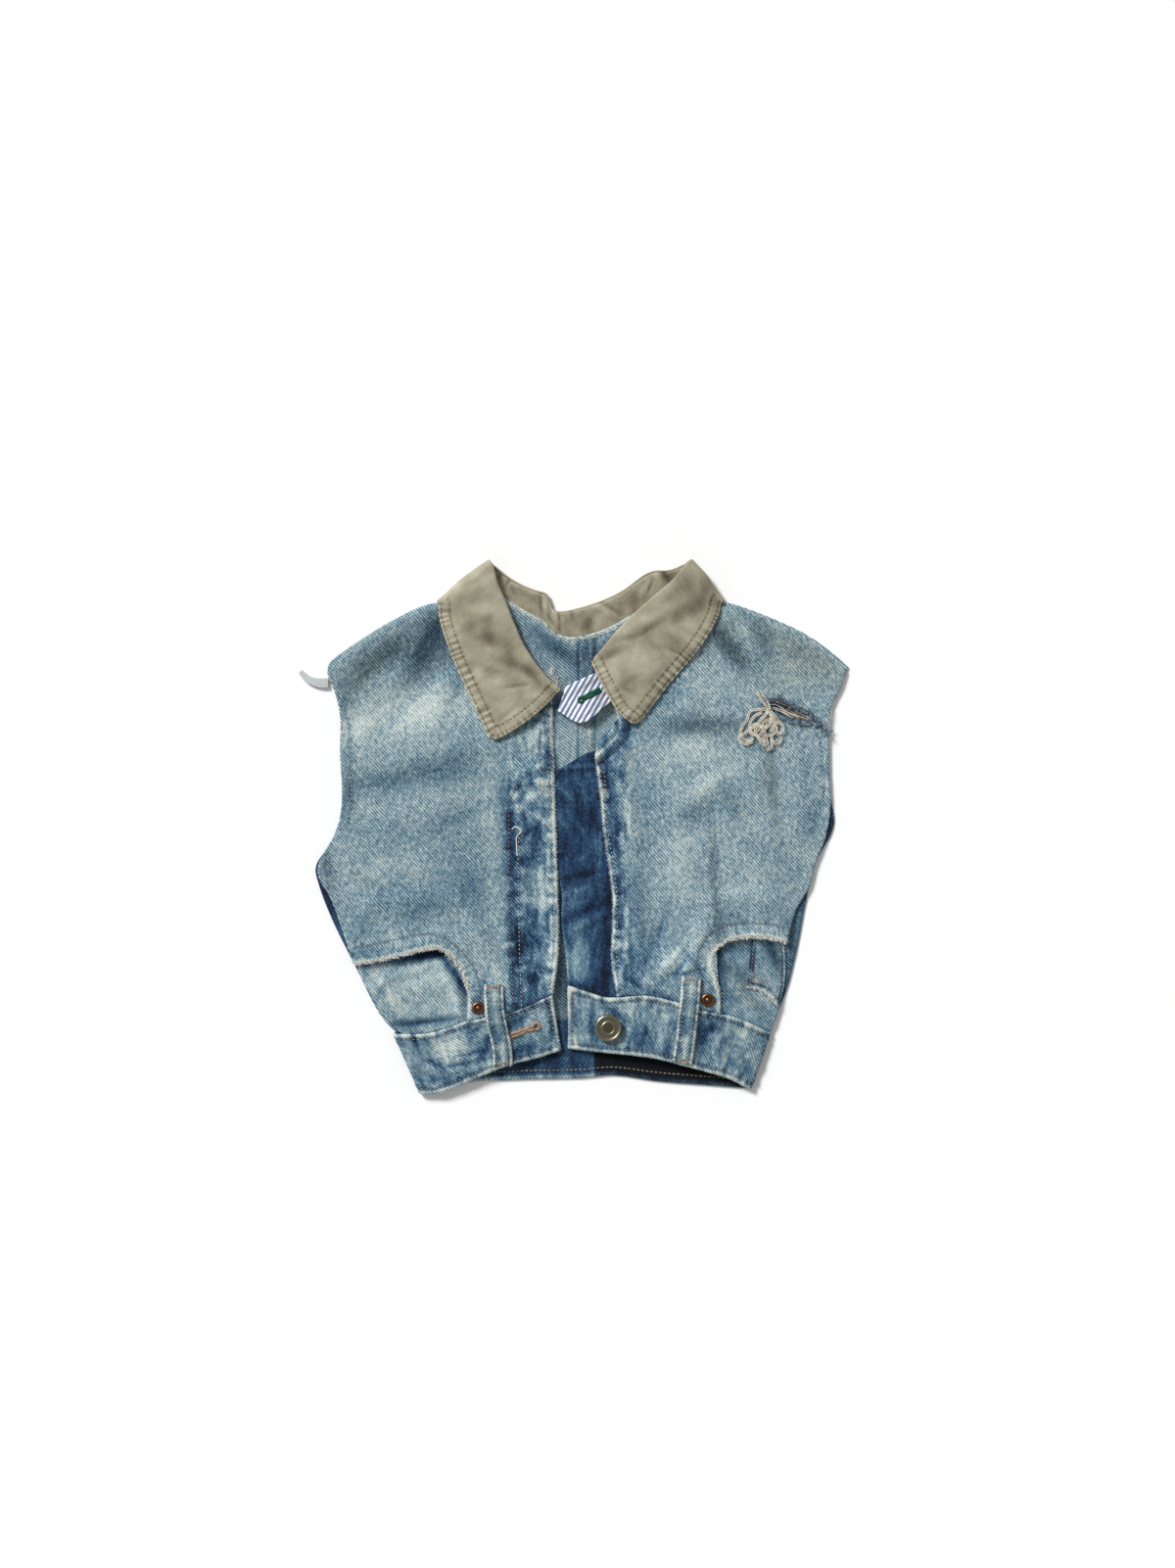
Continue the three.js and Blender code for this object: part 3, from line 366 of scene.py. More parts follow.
def twill_cloth(name, stops, twill=0.12, grain=0.2, blotch=0.35, cloud=0.12, bump=0.5, pitch=1.7):
    """Washed denim. Its colour runs along stops from unworn to faded, by the cloth's own marks:
    fade, which is fading with painted shade and highlight laid in, mottle for blotches
    and grime for a grey-olive tint, partly grime and partly painted shade. Twill ribs cross it at a slant."""
    material, tree, shader = paint(name, {
        "Roughness": 0.92, "Specular IOR Level": 0.2, "Sheen Weight": 0.12, "Sheen Roughness": 0.5})

    def scaled(vector, x, y, turn=0.0):
        inputs = {"Vector": vector, "Scale": (x, y, 1.0), "Rotation": (0.0, 0.0, math.radians(turn))}
        return place(tree, "ShaderNodeMapping", None, inputs).outputs["Vector"]

    def swing(value, amount, onto):
        """Adds a texture that swings about a half, so that it darkens as much as it lightens."""
        return maths(tree, "MULTIPLY_ADD", maths(tree, "SUBTRACT", value, 0.5), amount, onto)

    weave = mark(tree, "weave", "Vector")
    slanting = scaled(weave, 1.0, 1.0, -42)
    ribs = place(tree, "ShaderNodeTexWave", {"wave_type": "BANDS", "bands_direction": "X"}, {
        "Vector": slanting, "Scale": 2 * math.pi / (20 * pitch * MM),
        "Distortion": 1.4, "Detail": 1.0, "Detail Scale": 0.6}).outputs["Fac"]
    specks = noise(tree, scaled(slanting, 1.0, 0.6), 520.0, 3.0, 0.8)
    slubs = noise(tree, scaled(weave, 1.0, 0.3), 500.0, 2.0, 0.55)
    patches = noise(tree, scaled(weave, 1.0, 0.7), 230.0, 5.0, 0.7)
    clouds = noise(tree, weave, 42.0, 4.0, 0.6)
    amount = maths(tree, "MULTIPLY", mark(tree, "mottle"), blotch * 2)
    fade = mark(tree, "fade")
    for value, by in ((ribs, twill), (specks, grain * 2), (slubs, grain * 0.7), (patches, amount),
                      (clouds, cloud * 2)):
        fade = swing(value, by, fade)
    ramp = place(tree, "ShaderNodeValToRGB", None, {"Fac": fade})
    while len(ramp.color_ramp.elements) < len(stops):
        ramp.color_ramp.elements.new(0.5)
    for element, (position, colour) in zip(ramp.color_ramp.elements, stops):
        element.position = position
        element.color = linear(*colour)
    # The grey-olive multiply: grime, and painted shade where the grime mark stands for shadow.
    tint = place(tree, "ShaderNodeMix", {"data_type": "RGBA", "blend_type": "MULTIPLY"}, {
        "Factor": mark(tree, "grime"), 6: ramp.outputs["Color"], 7: (0.60, 0.53, 0.46, 1.0)})
    tree.links.new(tint.outputs[2], shader.inputs["Base Color"])
    bumps(tree, shader, swing(specks, 0.8, swing(ribs, 1.0, slubs)), bump, 0.35)
    return material


INDIGO = [(0.0, (8, 16, 28)), (0.2, (22, 46, 78)), (0.4, (48, 82, 112)), (0.6, (95, 127, 147)),
          (0.8, (147, 173, 180)), (1.0, (214, 221, 214))]


def start_tree(name, **inputs):
    """A new geometry tree with named inputs. Returns it with its input sockets."""
    tree = bpy.data.node_groups.new(name, "GeometryNodeTree")
    tree.interface.new_socket("Geometry", in_out="INPUT", socket_type="NodeSocketGeometry")
    for key, kind in inputs.items():
        tree.interface.new_socket(key, in_out="INPUT", socket_type="NodeSocket" + kind)
    tree.interface.new_socket("Geometry", in_out="OUTPUT", socket_type="NodeSocketGeometry")
    return tree, tree.nodes.new("NodeGroupInput").outputs


def end_tree(tree, geometry, material):
    real = place(tree, "GeometryNodeRealizeInstances", None, {"Geometry": geometry})
    soft = place(tree, "GeometryNodeSetShadeSmooth", None, {"Geometry": real.outputs[0]})
    done = place(tree, "GeometryNodeSetMaterial", None,
                 {"Geometry": soft.outputs[0], "Material": material})
    tree.links.new(done.outputs[0], tree.nodes.new("NodeGroupOutput").inputs[0])


def random_vector(tree, low, high, seed):
    settings = {"data_type": "FLOAT_VECTOR"}
    return place(tree, "FunctionNodeRandomValue", settings, {0: low, 1: high, 8: seed}).outputs[0]


def turned_by(tree, rotation, euler):
    """A rotation, turned further about its own axes."""
    step = place(tree, "FunctionNodeEulerToRotation", None, {0: euler})
    inputs = {"Rotation": rotation, "Rotate By": step.outputs[0]}
    return place(tree, "FunctionNodeRotateRotation", {"rotation_space": "LOCAL"}, inputs).outputs[0]


def heading_along(tree, points):
    inputs = {"Vector": points.outputs["Tangent"]}
    return place(tree, "FunctionNodeAlignRotationToVector", {"axis": "X"}, inputs).outputs[0]


def points_along(tree, lines, gap):
    """Points a gap apart along plain edges, each with its line's direction."""
    line = place(tree, "GeometryNodeMeshToCurve", None, {"Mesh": lines})
    inputs = {"Curve": line.outputs[0], "Length": gap}
    return place(tree, "GeometryNodeCurveToPoints", {"mode": "LENGTH"}, inputs)


def tube(tree, curve, sides, radius):
    """A capped tube along curves."""
    section = place(tree, "GeometryNodeCurvePrimitiveCircle", None,
                    {"Resolution": sides, "Radius": radius})
    inputs = {"Curve": curve, "Profile Curve": section.outputs[0], "Fill Caps": True}
    return place(tree, "GeometryNodeCurveToMesh", None, inputs).outputs[0]


def stitch_tree():
    """Rows of stitches: a plump bead of thread at each step along a line, a little uneven."""
    tree, given = start_tree("stitches", Pitch="Float", Size="Vector", Seed="Int", Thread="Material")
    points = points_along(tree, given["Geometry"], given["Pitch"])
    loose = random_vector(tree, (-0.1, -0.05, -0.12), (0.1, 0.05, 0.12), given["Seed"])
    bead = place(tree, "GeometryNodeMeshUVSphere", None, {"Segments": 6, "Rings": 4, "Radius": 0.5})
    rows = place(tree, "GeometryNodeInstanceOnPoints", None, {
        "Points": points.outputs["Points"], "Instance": bead.outputs[0],
        "Rotation": turned_by(tree, heading_along(tree, points), loose), "Scale": given["Size"]})
    end_tree(tree, rows.outputs[0], given["Thread"])
    return tree


def fringe_tree():
    """Raw cloth: short bent fibres that stand out from a line, on its right, at random."""
    tree, given = start_tree("fringe", Gap="Float", Length="Float", Width="Float", Scatter="Vector",
                             Seed="Int", Thread="Material")
    points = points_along(tree, given["Geometry"], given["Gap"])
    slack = place(tree, "ShaderNodeVectorMath", {"operation": "SCALE"},
                  {0: given["Scatter"], "Scale": -1.0})
    moved = place(tree, "GeometryNodeSetPosition", None, {
        "Geometry": points.outputs["Points"],
        "Offset": random_vector(tree, slack.outputs[0], given["Scatter"], given["Seed"])})
    bend = place(tree, "GeometryNodeCurveQuadraticBezier", None, {
        "Resolution": 3, "Start": (0.0, 0.0, 0.0), "Middle": (0.6, 0.05, 0.1), "End": (0.8, 0.45, -0.05)})
    radius = maths(tree, "DIVIDE", given["Width"], given["Length"])
    outward = turned_by(tree, heading_along(tree, points), (0.0, 0.0, -math.pi / 2))
    sway = random_vector(tree, (0.0, -0.5, -0.9), (0.0, 0.35, 0.9), given["Seed"])
    roll = random_vector(tree, (-1.2, 0.0, 0.0), (1.2, 0.0, 0.0), given["Seed"])
    rolled = turned_by(tree, turned_by(tree, outward, sway), roll)
    share = place(tree, "FunctionNodeRandomValue", None, {2: 0.35, 3: 1.1, 8: given["Seed"]}).outputs[1]
    fibres = place(tree, "GeometryNodeInstanceOnPoints", None, {
        "Points": moved.outputs[0], "Instance": tube(tree, bend.outputs[0], 3, radius), "Rotation": rolled,
        "Scale": maths(tree, "MULTIPLY", given["Length"], share)})
    end_tree(tree, fibres.outputs[0], given["Thread"])
    return tree


STITCHES = stitch_tree()
FRINGE = fringe_tree()


def grow(name, tree, lines, **inputs):
    """A plain mesh that a tree grows along lines given in millimetres."""
    starts = np.cumsum([0, *(len(line) for line in lines)])
    edges = [(k, k + 1) for a, b in zip(starts, starts[1:]) for k in range(a, b - 1)]
    mesh = bpy.data.meshes.new(name)
    mesh.from_pydata((np.vstack(lines) * MM).tolist(), edges, [])
    seedling = new_object(name, mesh)
    modifier = seedling.modifiers.new("growth", "NODES")
    modifier.node_group = tree
    for item in tree.interface.items_tree:
        if item.in_out == "INPUT" and item.name in inputs:
            modifier[item.identifier] = inputs[item.name]
    grown = bpy.data.meshes.new_from_object(seedling.evaluated_get(bpy.context.evaluated_depsgraph_get()))
    bpy.data.objects.remove(seedling)
    bpy.data.meshes.remove(mesh)
    grown.name = name
    return new_object(name, grown)


def yarn_finish(name, colour, pale=0.35):
    """Sewing thread or yarn: matt, a little fuzzy, lighter and darker by turns."""
    material, tree, shader = paint(name, {"Roughness": 0.75, "Specular IOR Level": 0.25})
    where = place(tree, "ShaderNodeTexCoord").outputs["Object"]
    shade = place(tree, "ShaderNodeValToRGB", None, {"Fac": noise(tree, where, 420.0, 2.0)})
    dark, light = shade.color_ramp.elements
    dark.position, light.position = 0.3, 0.75
    dark.color = linear(*[c * (1 - pale) for c in colour])
    light.color = linear(*[c + (255 - c) * pale * 0.6 for c in colour])
    bumps(tree, shader, noise(tree, where, 2600.0, 1.0), 0.3, 0.1)
    tree.links.new(shade.outputs["Color"], shader.inputs["Base Color"])
    return material


def settle(face, line, above=0.0):
    """A line in plan, laid on the face of a cloth: each point takes its height from the face."""
    points = face.reshape(-1, 3)
    heights = []
    for x, y in line[:, :2]:
        distance = np.hypot(points[:, 0] - x, points[:, 1] - y)
        near = np.argpartition(distance, 4)[:4]
        weight = 1 / (distance[near] + 0.05)
        heights.append(np.sum(points[near, 2] * weight) / np.sum(weight))
    return np.column_stack([line[:, 0], line[:, 1], np.array(heights) + above])


ORANGE = yarn_finish("topstitch_orange", (172, 144, 112))
CREAM = yarn_finish("topstitch_cream", (206, 200, 182), 0.25)


def topstitch(name, lines, thread, slot, pitch=2.6, size=(2.0, 0.75, 0.5), seed=1):
    """Stitches along lines that lie on a cloth. Short and wide ones, close together, are satin."""
    piece = grow(name, STITCHES, lines, Pitch=pitch * MM, Size=[s * MM for s in size], Seed=seed,
                 Thread=thread)
    return seat(piece, slot)


def fray(name, lines, thread, slot, length=1.6, gap=0.22, width=0.11, scatter=0.3, seed=1):
    """Loose fibres along raw edges, on the right of each line."""
    piece = grow(name, FRINGE, lines, Gap=gap * MM, Length=length * MM, Width=width * MM,
                 Scatter=[scatter * MM] * 3, Seed=seed, Thread=thread)
    return seat(piece, slot)


# The strip's two edges and its middle height, at stations from the left end at the centre front.
BAND_FRONT_LEFT = table("xTop yTop xLow yLow z", """
    -21 -113 -15 -149 4.7, -36 -119.5 -31 -154 5.3, -50 -124.7 -49 -158.5 5.8, -77 -130.4 -74 -168.5 5.6,
    -89 -134.8 -88 -174.6 5, -104 -139 -99 -178.2 4.4, -125 -139.6 -107.6 -178.4 3.9""")
BAND_BACK = table("xTop yTop xLow yLow z", """
    -124.4 -138.2 -107 -177.6 1.1, -90 -134.2 -79 -171 1.1, -50 -130.9 -46 -168.8 1.1,
    0 -129.9 0 -167.6 1.1, 18 -130 20 -165.8 1.1, 50 -130.9 50 -169.8 1.1, 92 -134.2 88 -172.8 1.1,
    123.6 -137.9 111 -174.6 1.1""")
BAND_FRONT_RIGHT = table("xTop yTop xLow yLow z", """
    124.6 -138 111.8 -174.8 3.9, 102 -128 99 -168 6.2, 80 -123 79 -161.8 7.9, 60 -116.6 60 -156.6 8.7,
    43 -113 43 -153 8.5, 17 -114.8 17 -150.4 7.2, 3 -111 3 -149 6, -9.2 -107 -9.2 -147.6 5.2""")
BAND_WIDTH = 38.0
BAND_ACROSS = 46
BAND_CREASES = table("x y turn long wide high", """
    -99 -159 150 9 1.5 -.9, -82 -159 12 12 1.5 -.8, -90 -163 0 12 1.8 .8, -76 -152 14 10 1.5 -.7,
    -74 -155 10 12 1.8 .6, -104 -166 160 10 1.8 -.6, -84 -148 82 12 3 .5, -40 -136 75 14 3 -.5,
    -28 -142 82 12 2.2 .5, 40 -132 80 16 3 .7, 49 -137 88 14 2.2 -.6, 57 -142 95 12 2.4 .6,
    32 -146 100 8 2.2 -.5, 24 -126 145 9 1.5 -.8, 44 -138 110 9 1.5 -.8, 3 -132 92 15 2.6 .5,
    90 -146 84 17 3 .7, 100 -150 76 15 2.2 -.6, 110 -158 120 10 2 -.9, 114 -154 120 10 2.2 .8,
    76 -152 92 9 2 .4""")
# Fading on the band, with painted shade in its crease valleys.
BAND_WASH_AND_SHADE = table("x y turn long wide fade", """
    -27 -118 0 9 4 -.2, -34 -126 65 9 4 .2, -33 -147 20 8 5 -.24, -21 -140 90 10 3 -.1,
    -46 -131 20 7 4 -.34, -45 -150 15 9 3.4 -.34, -65 -148 70 10 4 -.34, -74 -138 60 6 3.4 -.3,
    -98 -150 8 24 8 .2, -84 -141 10 18 5 .12, -99 -159 150 8 2 -.24, -81 -159 12 11 2 -.26,
    -74 -152 14 9 2 -.24, -94 -168 12 18 4 -.14, -113 -146 90 8 2.4 -.3, -109 -158 80 14 6 -.22,
    -2 -120 0 12 6 .14, 7 -134 92 14 2.4 -.3, 20 -124 150 10 3.4 -.34, 0 -136 90 12 4 .08,
    30 -124 0 16 5 .1, 37 -143 80 8 5 -.34, 44 -138 110 8 1.8 -.2, 52 -130 95 12 6 .1, 57 -148 90 8 3 -.3,
    26 -144 20 8 4 .1, 80 -142 90 13 3 -.36, 87 -134 10 6 3 -.3, 92 -150 90 10 2 -.2, 102 -147 80 14 6 .03,
    108 -163 150 12 4 -.2, 104 -136 160 12 3 .14, 80 -157 10 10 3 .1""")


def band_part(rows, gap):
    """The strip's middle points between its stations, with a row about every gap."""
    top = Side(np.column_stack([rows["xTop"], rows["yTop"], rows["z"]]))
    low = Side(np.column_stack([rows["xLow"], rows["yLow"], rows["z"]]))
    t = np.linspace(0, 1, round(top.length / gap))
    w = np.linspace(0, 1, BAND_ACROSS + 1)[None, :, None]
    return top(t)[:, None] * (1 - w) + low(t)[:, None] * w


def round_fold(upper, lower, outward, count):
    """Rows round the fold between two rows that lie over each other."""
    turn = np.linspace(0, math.pi, count + 2)[1:-1, None]
    radius = np.abs(upper[:, 2] - lower[:, 2]) / 2
    rows = upper + (lower - upper) * ((1 - np.cos(turn)) / 2)[..., None]
    rows[..., 0] += outward[0] * radius * np.sin(turn)
    rows[..., 1] += outward[1] * radius * np.sin(turn)
    return rows


band_left = band_part(BAND_FRONT_LEFT, 0.9)
band_back = band_part(BAND_BACK, 3.0)
band_right = band_part(BAND_FRONT_RIGHT, 0.9)
for part in (band_left, band_right):
    x, y = part[..., 0], part[..., 1]
    part[..., 2] += spots(BAND_CREASES, "high", x, y) + 0.25 * wander(x, y, 6, 3)
band = np.concatenate([band_left, round_fold(band_left[-1], band_back[0], (-1, 0), 8), band_back,
                       round_fold(band_back[-1], band_right[0], (1, 0), 8), band_right])
x, y = band[..., 0], band[..., 1]
across = np.linspace(0, BAND_WIDTH, BAND_ACROSS + 1)[None] + 0 * x
middle_steps = np.linalg.norm(np.diff(band[:, BAND_ACROSS // 2], axis=0), axis=1)
travelled = np.concatenate([[0], np.cumsum(middle_steps)])
along = travelled[:, None] + 0 * x
from_end = np.minimum(along, along[-1] - along)
from_side = np.minimum(across, BAND_WIDTH - across)
from_edge = np.minimum(from_end, from_side)
EDGE_ROW = 2.7
groove = bell(from_edge - EDGE_ROW, 0.8)
seam_pucker = wander(along, across * 0.3, 3.2, 5) * bell(from_edge - 1.5, 3.5)
bulk = 0.45 * ease((7.5 - from_side) / 2.5)
rumple = wander(along, across * 0.4, 6, 6)
band_outer, band_inner = walls(band, BAND_CLOTH, bulk - 0.45 * groove + 0.5 * seam_pucker + 0.35 * rumple)
inside_band = np.zeros(len(band), bool)
inside_band[len(band_left) + 4:-len(band_right) - 4] = True
fade = (0.65 + spots(BAND_WASH_AND_SHADE, "fade", x, y) + 0.3 * bell(from_edge, 1.3) - 0.26 * groove
        + 0.3 * seam_pucker + 0.12 * rumple + 0.1 * wander(along * 1.6, across * 0.5, 4, 7)
        + 0.1 * spots(BAND_CREASES, "high", x, y))
# The back band's inner face, seen through the mouth under the front band: a painted shadow, darkest past
# the middle (x > 8) where the front band stands over it, with its hem edge paler.
inside_band_fade_and_shadow = np.where(x > 8, -0.2, 0.26) + 0.16 * wander(along, across * 0.2, 4, 8)
inside_band_fade_and_shadow += 0.5 * bell(across - BAND_WIDTH, 2.0)
fade = np.where(inside_band[:, None], inside_band_fade_and_shadow, fade)
waistband = cloth("denim_waistband", band_outer, band_inner, {
    "fade": fade, "mottle": np.where(inside_band[:, None], 0.3, 0.7),
    # Past the middle, the grey-olive multiply is painted shadow too.
    "grime": np.where(inside_band[:, None] & (x > 8), 0.9, 0.22),
    "weave": np.stack([along, across, 0 * along], -1) * MM})
BAND_DENIM = twill_cloth("band_denim", INDIGO, grain=0.46, twill=0.24, blotch=0.5)
dress(waistband, BAND_DENIM, "band_denim", ["waistband"])


def sampled(face, i, j):
    """Points of a face between its grid points, at rows i and columns j."""
    i, j = np.broadcast_arrays(np.asarray(i, float), np.asarray(j, float))
    a = np.clip(np.floor(i).astype(int), 0, face.shape[0] - 2)
    b = np.clip(np.floor(j).astype(int), 0, face.shape[1] - 2)
    s, t = (i - a)[:, None], (j - b)[:, None]
    return ((face[a, b] * (1 - s) + face[a + 1, b] * s) * (1 - t)
            + (face[a, b + 1] * (1 - s) + face[a + 1, b + 1] * s) * t)


def keyhole(start, eye, eye_radius, gap):
    """The line that buttonhole stitches follow: up one side of the slit, round its eye and back."""
    start, eye = np.array(start, float), np.array(eye, float)
    ahead = (eye - start) / np.linalg.norm(eye - start)
    aside = np.array([-ahead[1], ahead[0]])
    open_turn = math.asin(gap / eye_radius)
    turn = np.linspace(math.pi - open_turn, -math.pi + open_turn, 15)[:, None]
    loop = eye + eye_radius * (ahead * np.cos(turn) + aside * np.sin(turn))
    return np.vstack([start + aside * gap, loop, start - aside * gap])


def finer(line, gap=0.5):
    """The same line with a point about every gap."""
    steps = np.concatenate([[0], np.cumsum(np.linalg.norm(np.diff(line, axis=0), axis=1))])
    at = np.linspace(0, steps[-1], max(2, round(steps[-1] / gap)))
    return np.column_stack([np.interp(at, steps, column) for column in line.T])


row_step = BAND_WIDTH / BAND_ACROSS
left_rows, right_rows = len(band_left), len(band_right)
top_row, low_row = EDGE_ROW / row_step, BAND_ACROSS - EDGE_ROW / row_step
from_left_end = np.arange(3.0, left_rows - 1)
from_right_end = np.arange(len(band) - right_rows + 1.0, len(band) - 4)
band_rows = [sampled(band_outer, i, j)
             for i in (from_left_end, from_right_end) for j in (top_row, low_row)]
end_columns = np.arange(top_row, low_row)
band_rows += [sampled(band_outer, i, end_columns) for i in (3.0, len(band) - 4.0)]
across_back = np.arange(left_rows + 8.0, left_rows + 8 + len(band_back))
band_rows.append(sampled(band_inner, across_back, BAND_ACROSS - 6.0))
topstitch("band_topstitch", band_rows, ORANGE, "band_denim", pitch=3.0, size=(2.3, 0.8, 0.5), seed=2)

BUTTONHOLE = {"start": (-49, -140), "eye": (-31, -133.4), "eye_radius": 2.3, "gap": 0.9}
hole_line = finer(keyhole(**BUTTONHOLE))
left_face = band_outer[:left_rows]
PEACH = yarn_finish("buttonhole_peach", (197, 164, 132), 0.35)
topstitch("band_buttonhole", [settle(left_face, hole_line, 0.4)], PEACH, "band_denim", pitch=0.45,
          size=(0.6, 2.7, 1.3), seed=4)
slit = finer(np.array([BUTTONHOLE["start"], BUTTONHOLE["eye"]]))
SHADOW = yarn_finish("slit_shadow", (26, 30, 38), 0.1)
topstitch("band_slit", [settle(left_face, slit, 0.15)], SHADOW, "band_denim", pitch=0.5,
          size=(0.8, 0.7, 0.3))

EDGE_FLUFF = yarn_finish("worn_weft", (196, 205, 200), 0.25)
band_ends = (0.3, np.arange(0.0, BAND_ACROSS)[::-1]), (len(band) - 1.3, np.arange(0.0, BAND_ACROSS))
worn_edges = [sampled(band_outer, i, j) for i, j in (
    (from_left_end, 0.3), (from_left_end[::-1], BAND_ACROSS - 0.3),
    (from_right_end, 0.3), (from_right_end[::-1], BAND_ACROSS - 0.3), *band_ends)]
fray("band_fluff", worn_edges, EDGE_FLUFF, "band_denim", length=0.9, gap=0.35, width=0.09, seed=3)

# Back. Two panels of the same jeans denim, pale side up, joined down the middle by a felled
# seam with two rows of orange topstitch. Its raw neck edge lies on the collar, and the dark
# right side of the cloth comes round at the side seams.
BACK_MID = DENIM / 2
BACK_JOIN = -3.0
BACK_SEAM = {"from": -2.6, "to": 8.0, "raise": 0.8}
BACK_ROWS = 120
FINER_AT_NECK = 0.8
BACK_ON_FALL = 1.8
BACK_ON_STAND = 1.6
BACK_SIDE_LEFT = outline("""
    -126 -137.4, -136 -126, -151 -96.6, -168 -62.6, -177.4 -38, -179.4 -26.5, -168 -8, -162.4 12,
    -162.2 40, -163 74, -166 89, -171.6 103.6""")
BACK_SIDE_RIGHT = outline("""
    125 -137.6, 136 -112, 143.5 -84, 150 -50, 156.6 -24, 167.4 -3, 169 5, 166.8 22, 165.6 58, 166.4 79,
    173 94, 178.8 108""")
BACK_SHOULDER_LEFT = outline("""
    -171.6 103.6, -170.6 110, -160 119, -142 131, -122 142.4, -107 149.2, -100 150.6, -84 152, -69 154""")
BACK_SHOULDER_RIGHT = outline("""
    63.5 153, 78 151.4, 98 150.8, 110 147.4, 124 142, 148.5 130.8, 168 117.5, 178.8 108""")
BACK_NECK_LEFT = np.vstack([
    outline("-69 154, -58 157, -42.9 148, -25.7 138, -19 131, -10 128"), [BACK_JOIN, 128]])
BACK_NECK_RIGHT = np.vstack([
    [BACK_JOIN + SEAM, 128], outline("6.6 130, 23 137, 39.6 147, 52 154, 63.5 153")])
# The collar under the back's neck edge
FALL_ROLL_BACK = outline("""
    -61 176, -46.2 165, -33 159, -24.4 156, -19 145, -3.3 146.5, 23 156, 46 171, 60 172.5, 70.4 177""")
FALL_OUTER_BACK = outline("-96 150, -75 131, -46 119, 0 103, 40 118, 70 133, 93 151")
STAND_NECK_BACK = outline("""
    -72.5 155.5, -58 153.4, -42.9 144.6, -27 134.6, -19 127, -3 124.4, 8 126.6, 24 133.5, 42 144.6,
    53 150.6, 67.5 154.6""")
STAND_ROLL_BACK = outline("""
    -61.6 175.2, -46.2 164.4, -33 158.6, -24.4 155.4, -18.6 145, -3.3 146.2, 23 155.6, 46 170.4, 60 172.2,
    70 176.2""")
fall_area = np.vstack([FALL_OUTER_BACK, FALL_ROLL_BACK[::-1]])
stand_area = np.vstack([STAND_NECK_BACK, STAND_ROLL_BACK[::-1]])


def collar_rise(spare):
    """How far cloth is lifted by the collar under it, with some spare room round the collar."""
    on_fall = cover(fall_area, 5 + spare, 12)
    on_stand = cover(stand_area, 2.5 + spare, 8)
    return lambda x, y: BACK_ON_FALL * on_fall(x, y) + BACK_ON_STAND * on_stand(x, y)


back_rise = collar_rise(0)
BACK_CREASES = table("x y turn long wide high", """
    -30 118 140 14 2.2 .5, -42 128 135 12 2 .5, -18 108 95 16 3 .4, 14 112 80 16 3 .4, 34 122 40 14 2.4 .4,
    -12 62 90 20 3 .3, 11 66 90 20 3 .3, -11 -60 80 14 2.4 .4""")
# The back's fading and its dark side strips. There is painted shade under the collar's left leaf and the
# tab and in the slot beside the fly shield, and a painted shadow inside the rip.
BACK_WASH_AND_SHADE = table("x y turn long wide fade grime", """
    -172 -40 100 40 14 -.62 0, -150 -92 65 46 14 -.62 0, 164 4 95 20 12 -.62 0, 152 -44 75 22 12 -.34 .1,
    142 -88 75 26 12 -.3 .2, 128 -122 70 16 12 -.55 .2, -18 122 140 26 4 -.16 .1, 22 126 35 26 4 -.16 .1,
    -20 100 120 16 8 .05 0, -12 -52 90 24 6 -.36 .4, 3 120 90 14 6 -.2 0, 0 60 90 30 14 .03 .05,
    -36 116 130 28 12 -.11 .2, -20 82 80 9 9 -.3 .5, -12 -104 90 26 7 -.26 .8, 10 104 30 16 7 -.16 .3,
    140 77 -24 18 4.5 -.75 0, 34 118 45 16 5 -.14 .2, -14 118 150 16 7 -.12 .35""")
waist_line = reading(BAND_BACK, "xTop", "yTop")


def waist_stretch(start, end):
    x = np.linspace(start, end, 5)
    return np.column_stack([x, waist_line(x) + 2 * SEAM])


def make_back(name, node, waist, left, right, top, columns):
    grid = plan(Side(waist), top, left, right, shares(columns, top), shares(BACK_ROWS) ** FINER_AT_NECK)
    x, y = grid[..., 0], grid[..., 1]
    relief = 0.5 * spots(BACK_CREASES, "high", x, y) + 0.12 * (1 + wander(x, y, 7, 21))
    middle = np.dstack([x, y, BACK_MID + back_rise(x, y) + relief])
    seam_part = (x > BACK_SEAM["from"] - 0.6) & (node == "back_right")
    from_seam = np.minimum(x - BACK_SEAM["from"], BACK_SEAM["to"] - x)
    fell = np.where(seam_part, ease(from_seam / 0.9 + 0.5), 0)
    outer, inner = walls(middle, DENIM, BACK_SEAM["raise"] * fell)
    neck = np.vstack([BACK_NECK_LEFT[1:-1], BACK_NECK_RIGHT[:-1]])
    _, from_neck = beside(neck, x, y)
    worn = bell(from_neck, 2.4)
    ragged = 2 * wander(x, y, 1.7, 23)
    seam_edge = bell(x - BACK_SEAM["from"], 0.8) + bell(x - BACK_SEAM["to"], 0.8)
    fade = 0.73 + spots(BACK_WASH_AND_SHADE, "fade", x, y) + 0.2 * worn * (1 + ragged) - 0.2 * seam_edge
    piece = cloth(name, outer, inner, {
        "fade": fade + 0.1 * fell * wander(x * 2, y, 5, 24), "mottle": 0.15 + 0.4 * fell + 0.5 * worn,
        "grime": np.clip(0.12 + spots(BACK_WASH_AND_SHADE, "grime", x, y), 0, 1), "weave": weave_of(grid, 8)})
    dress(piece, INNER_DENIM, "inner_denim", [node])
    return outer


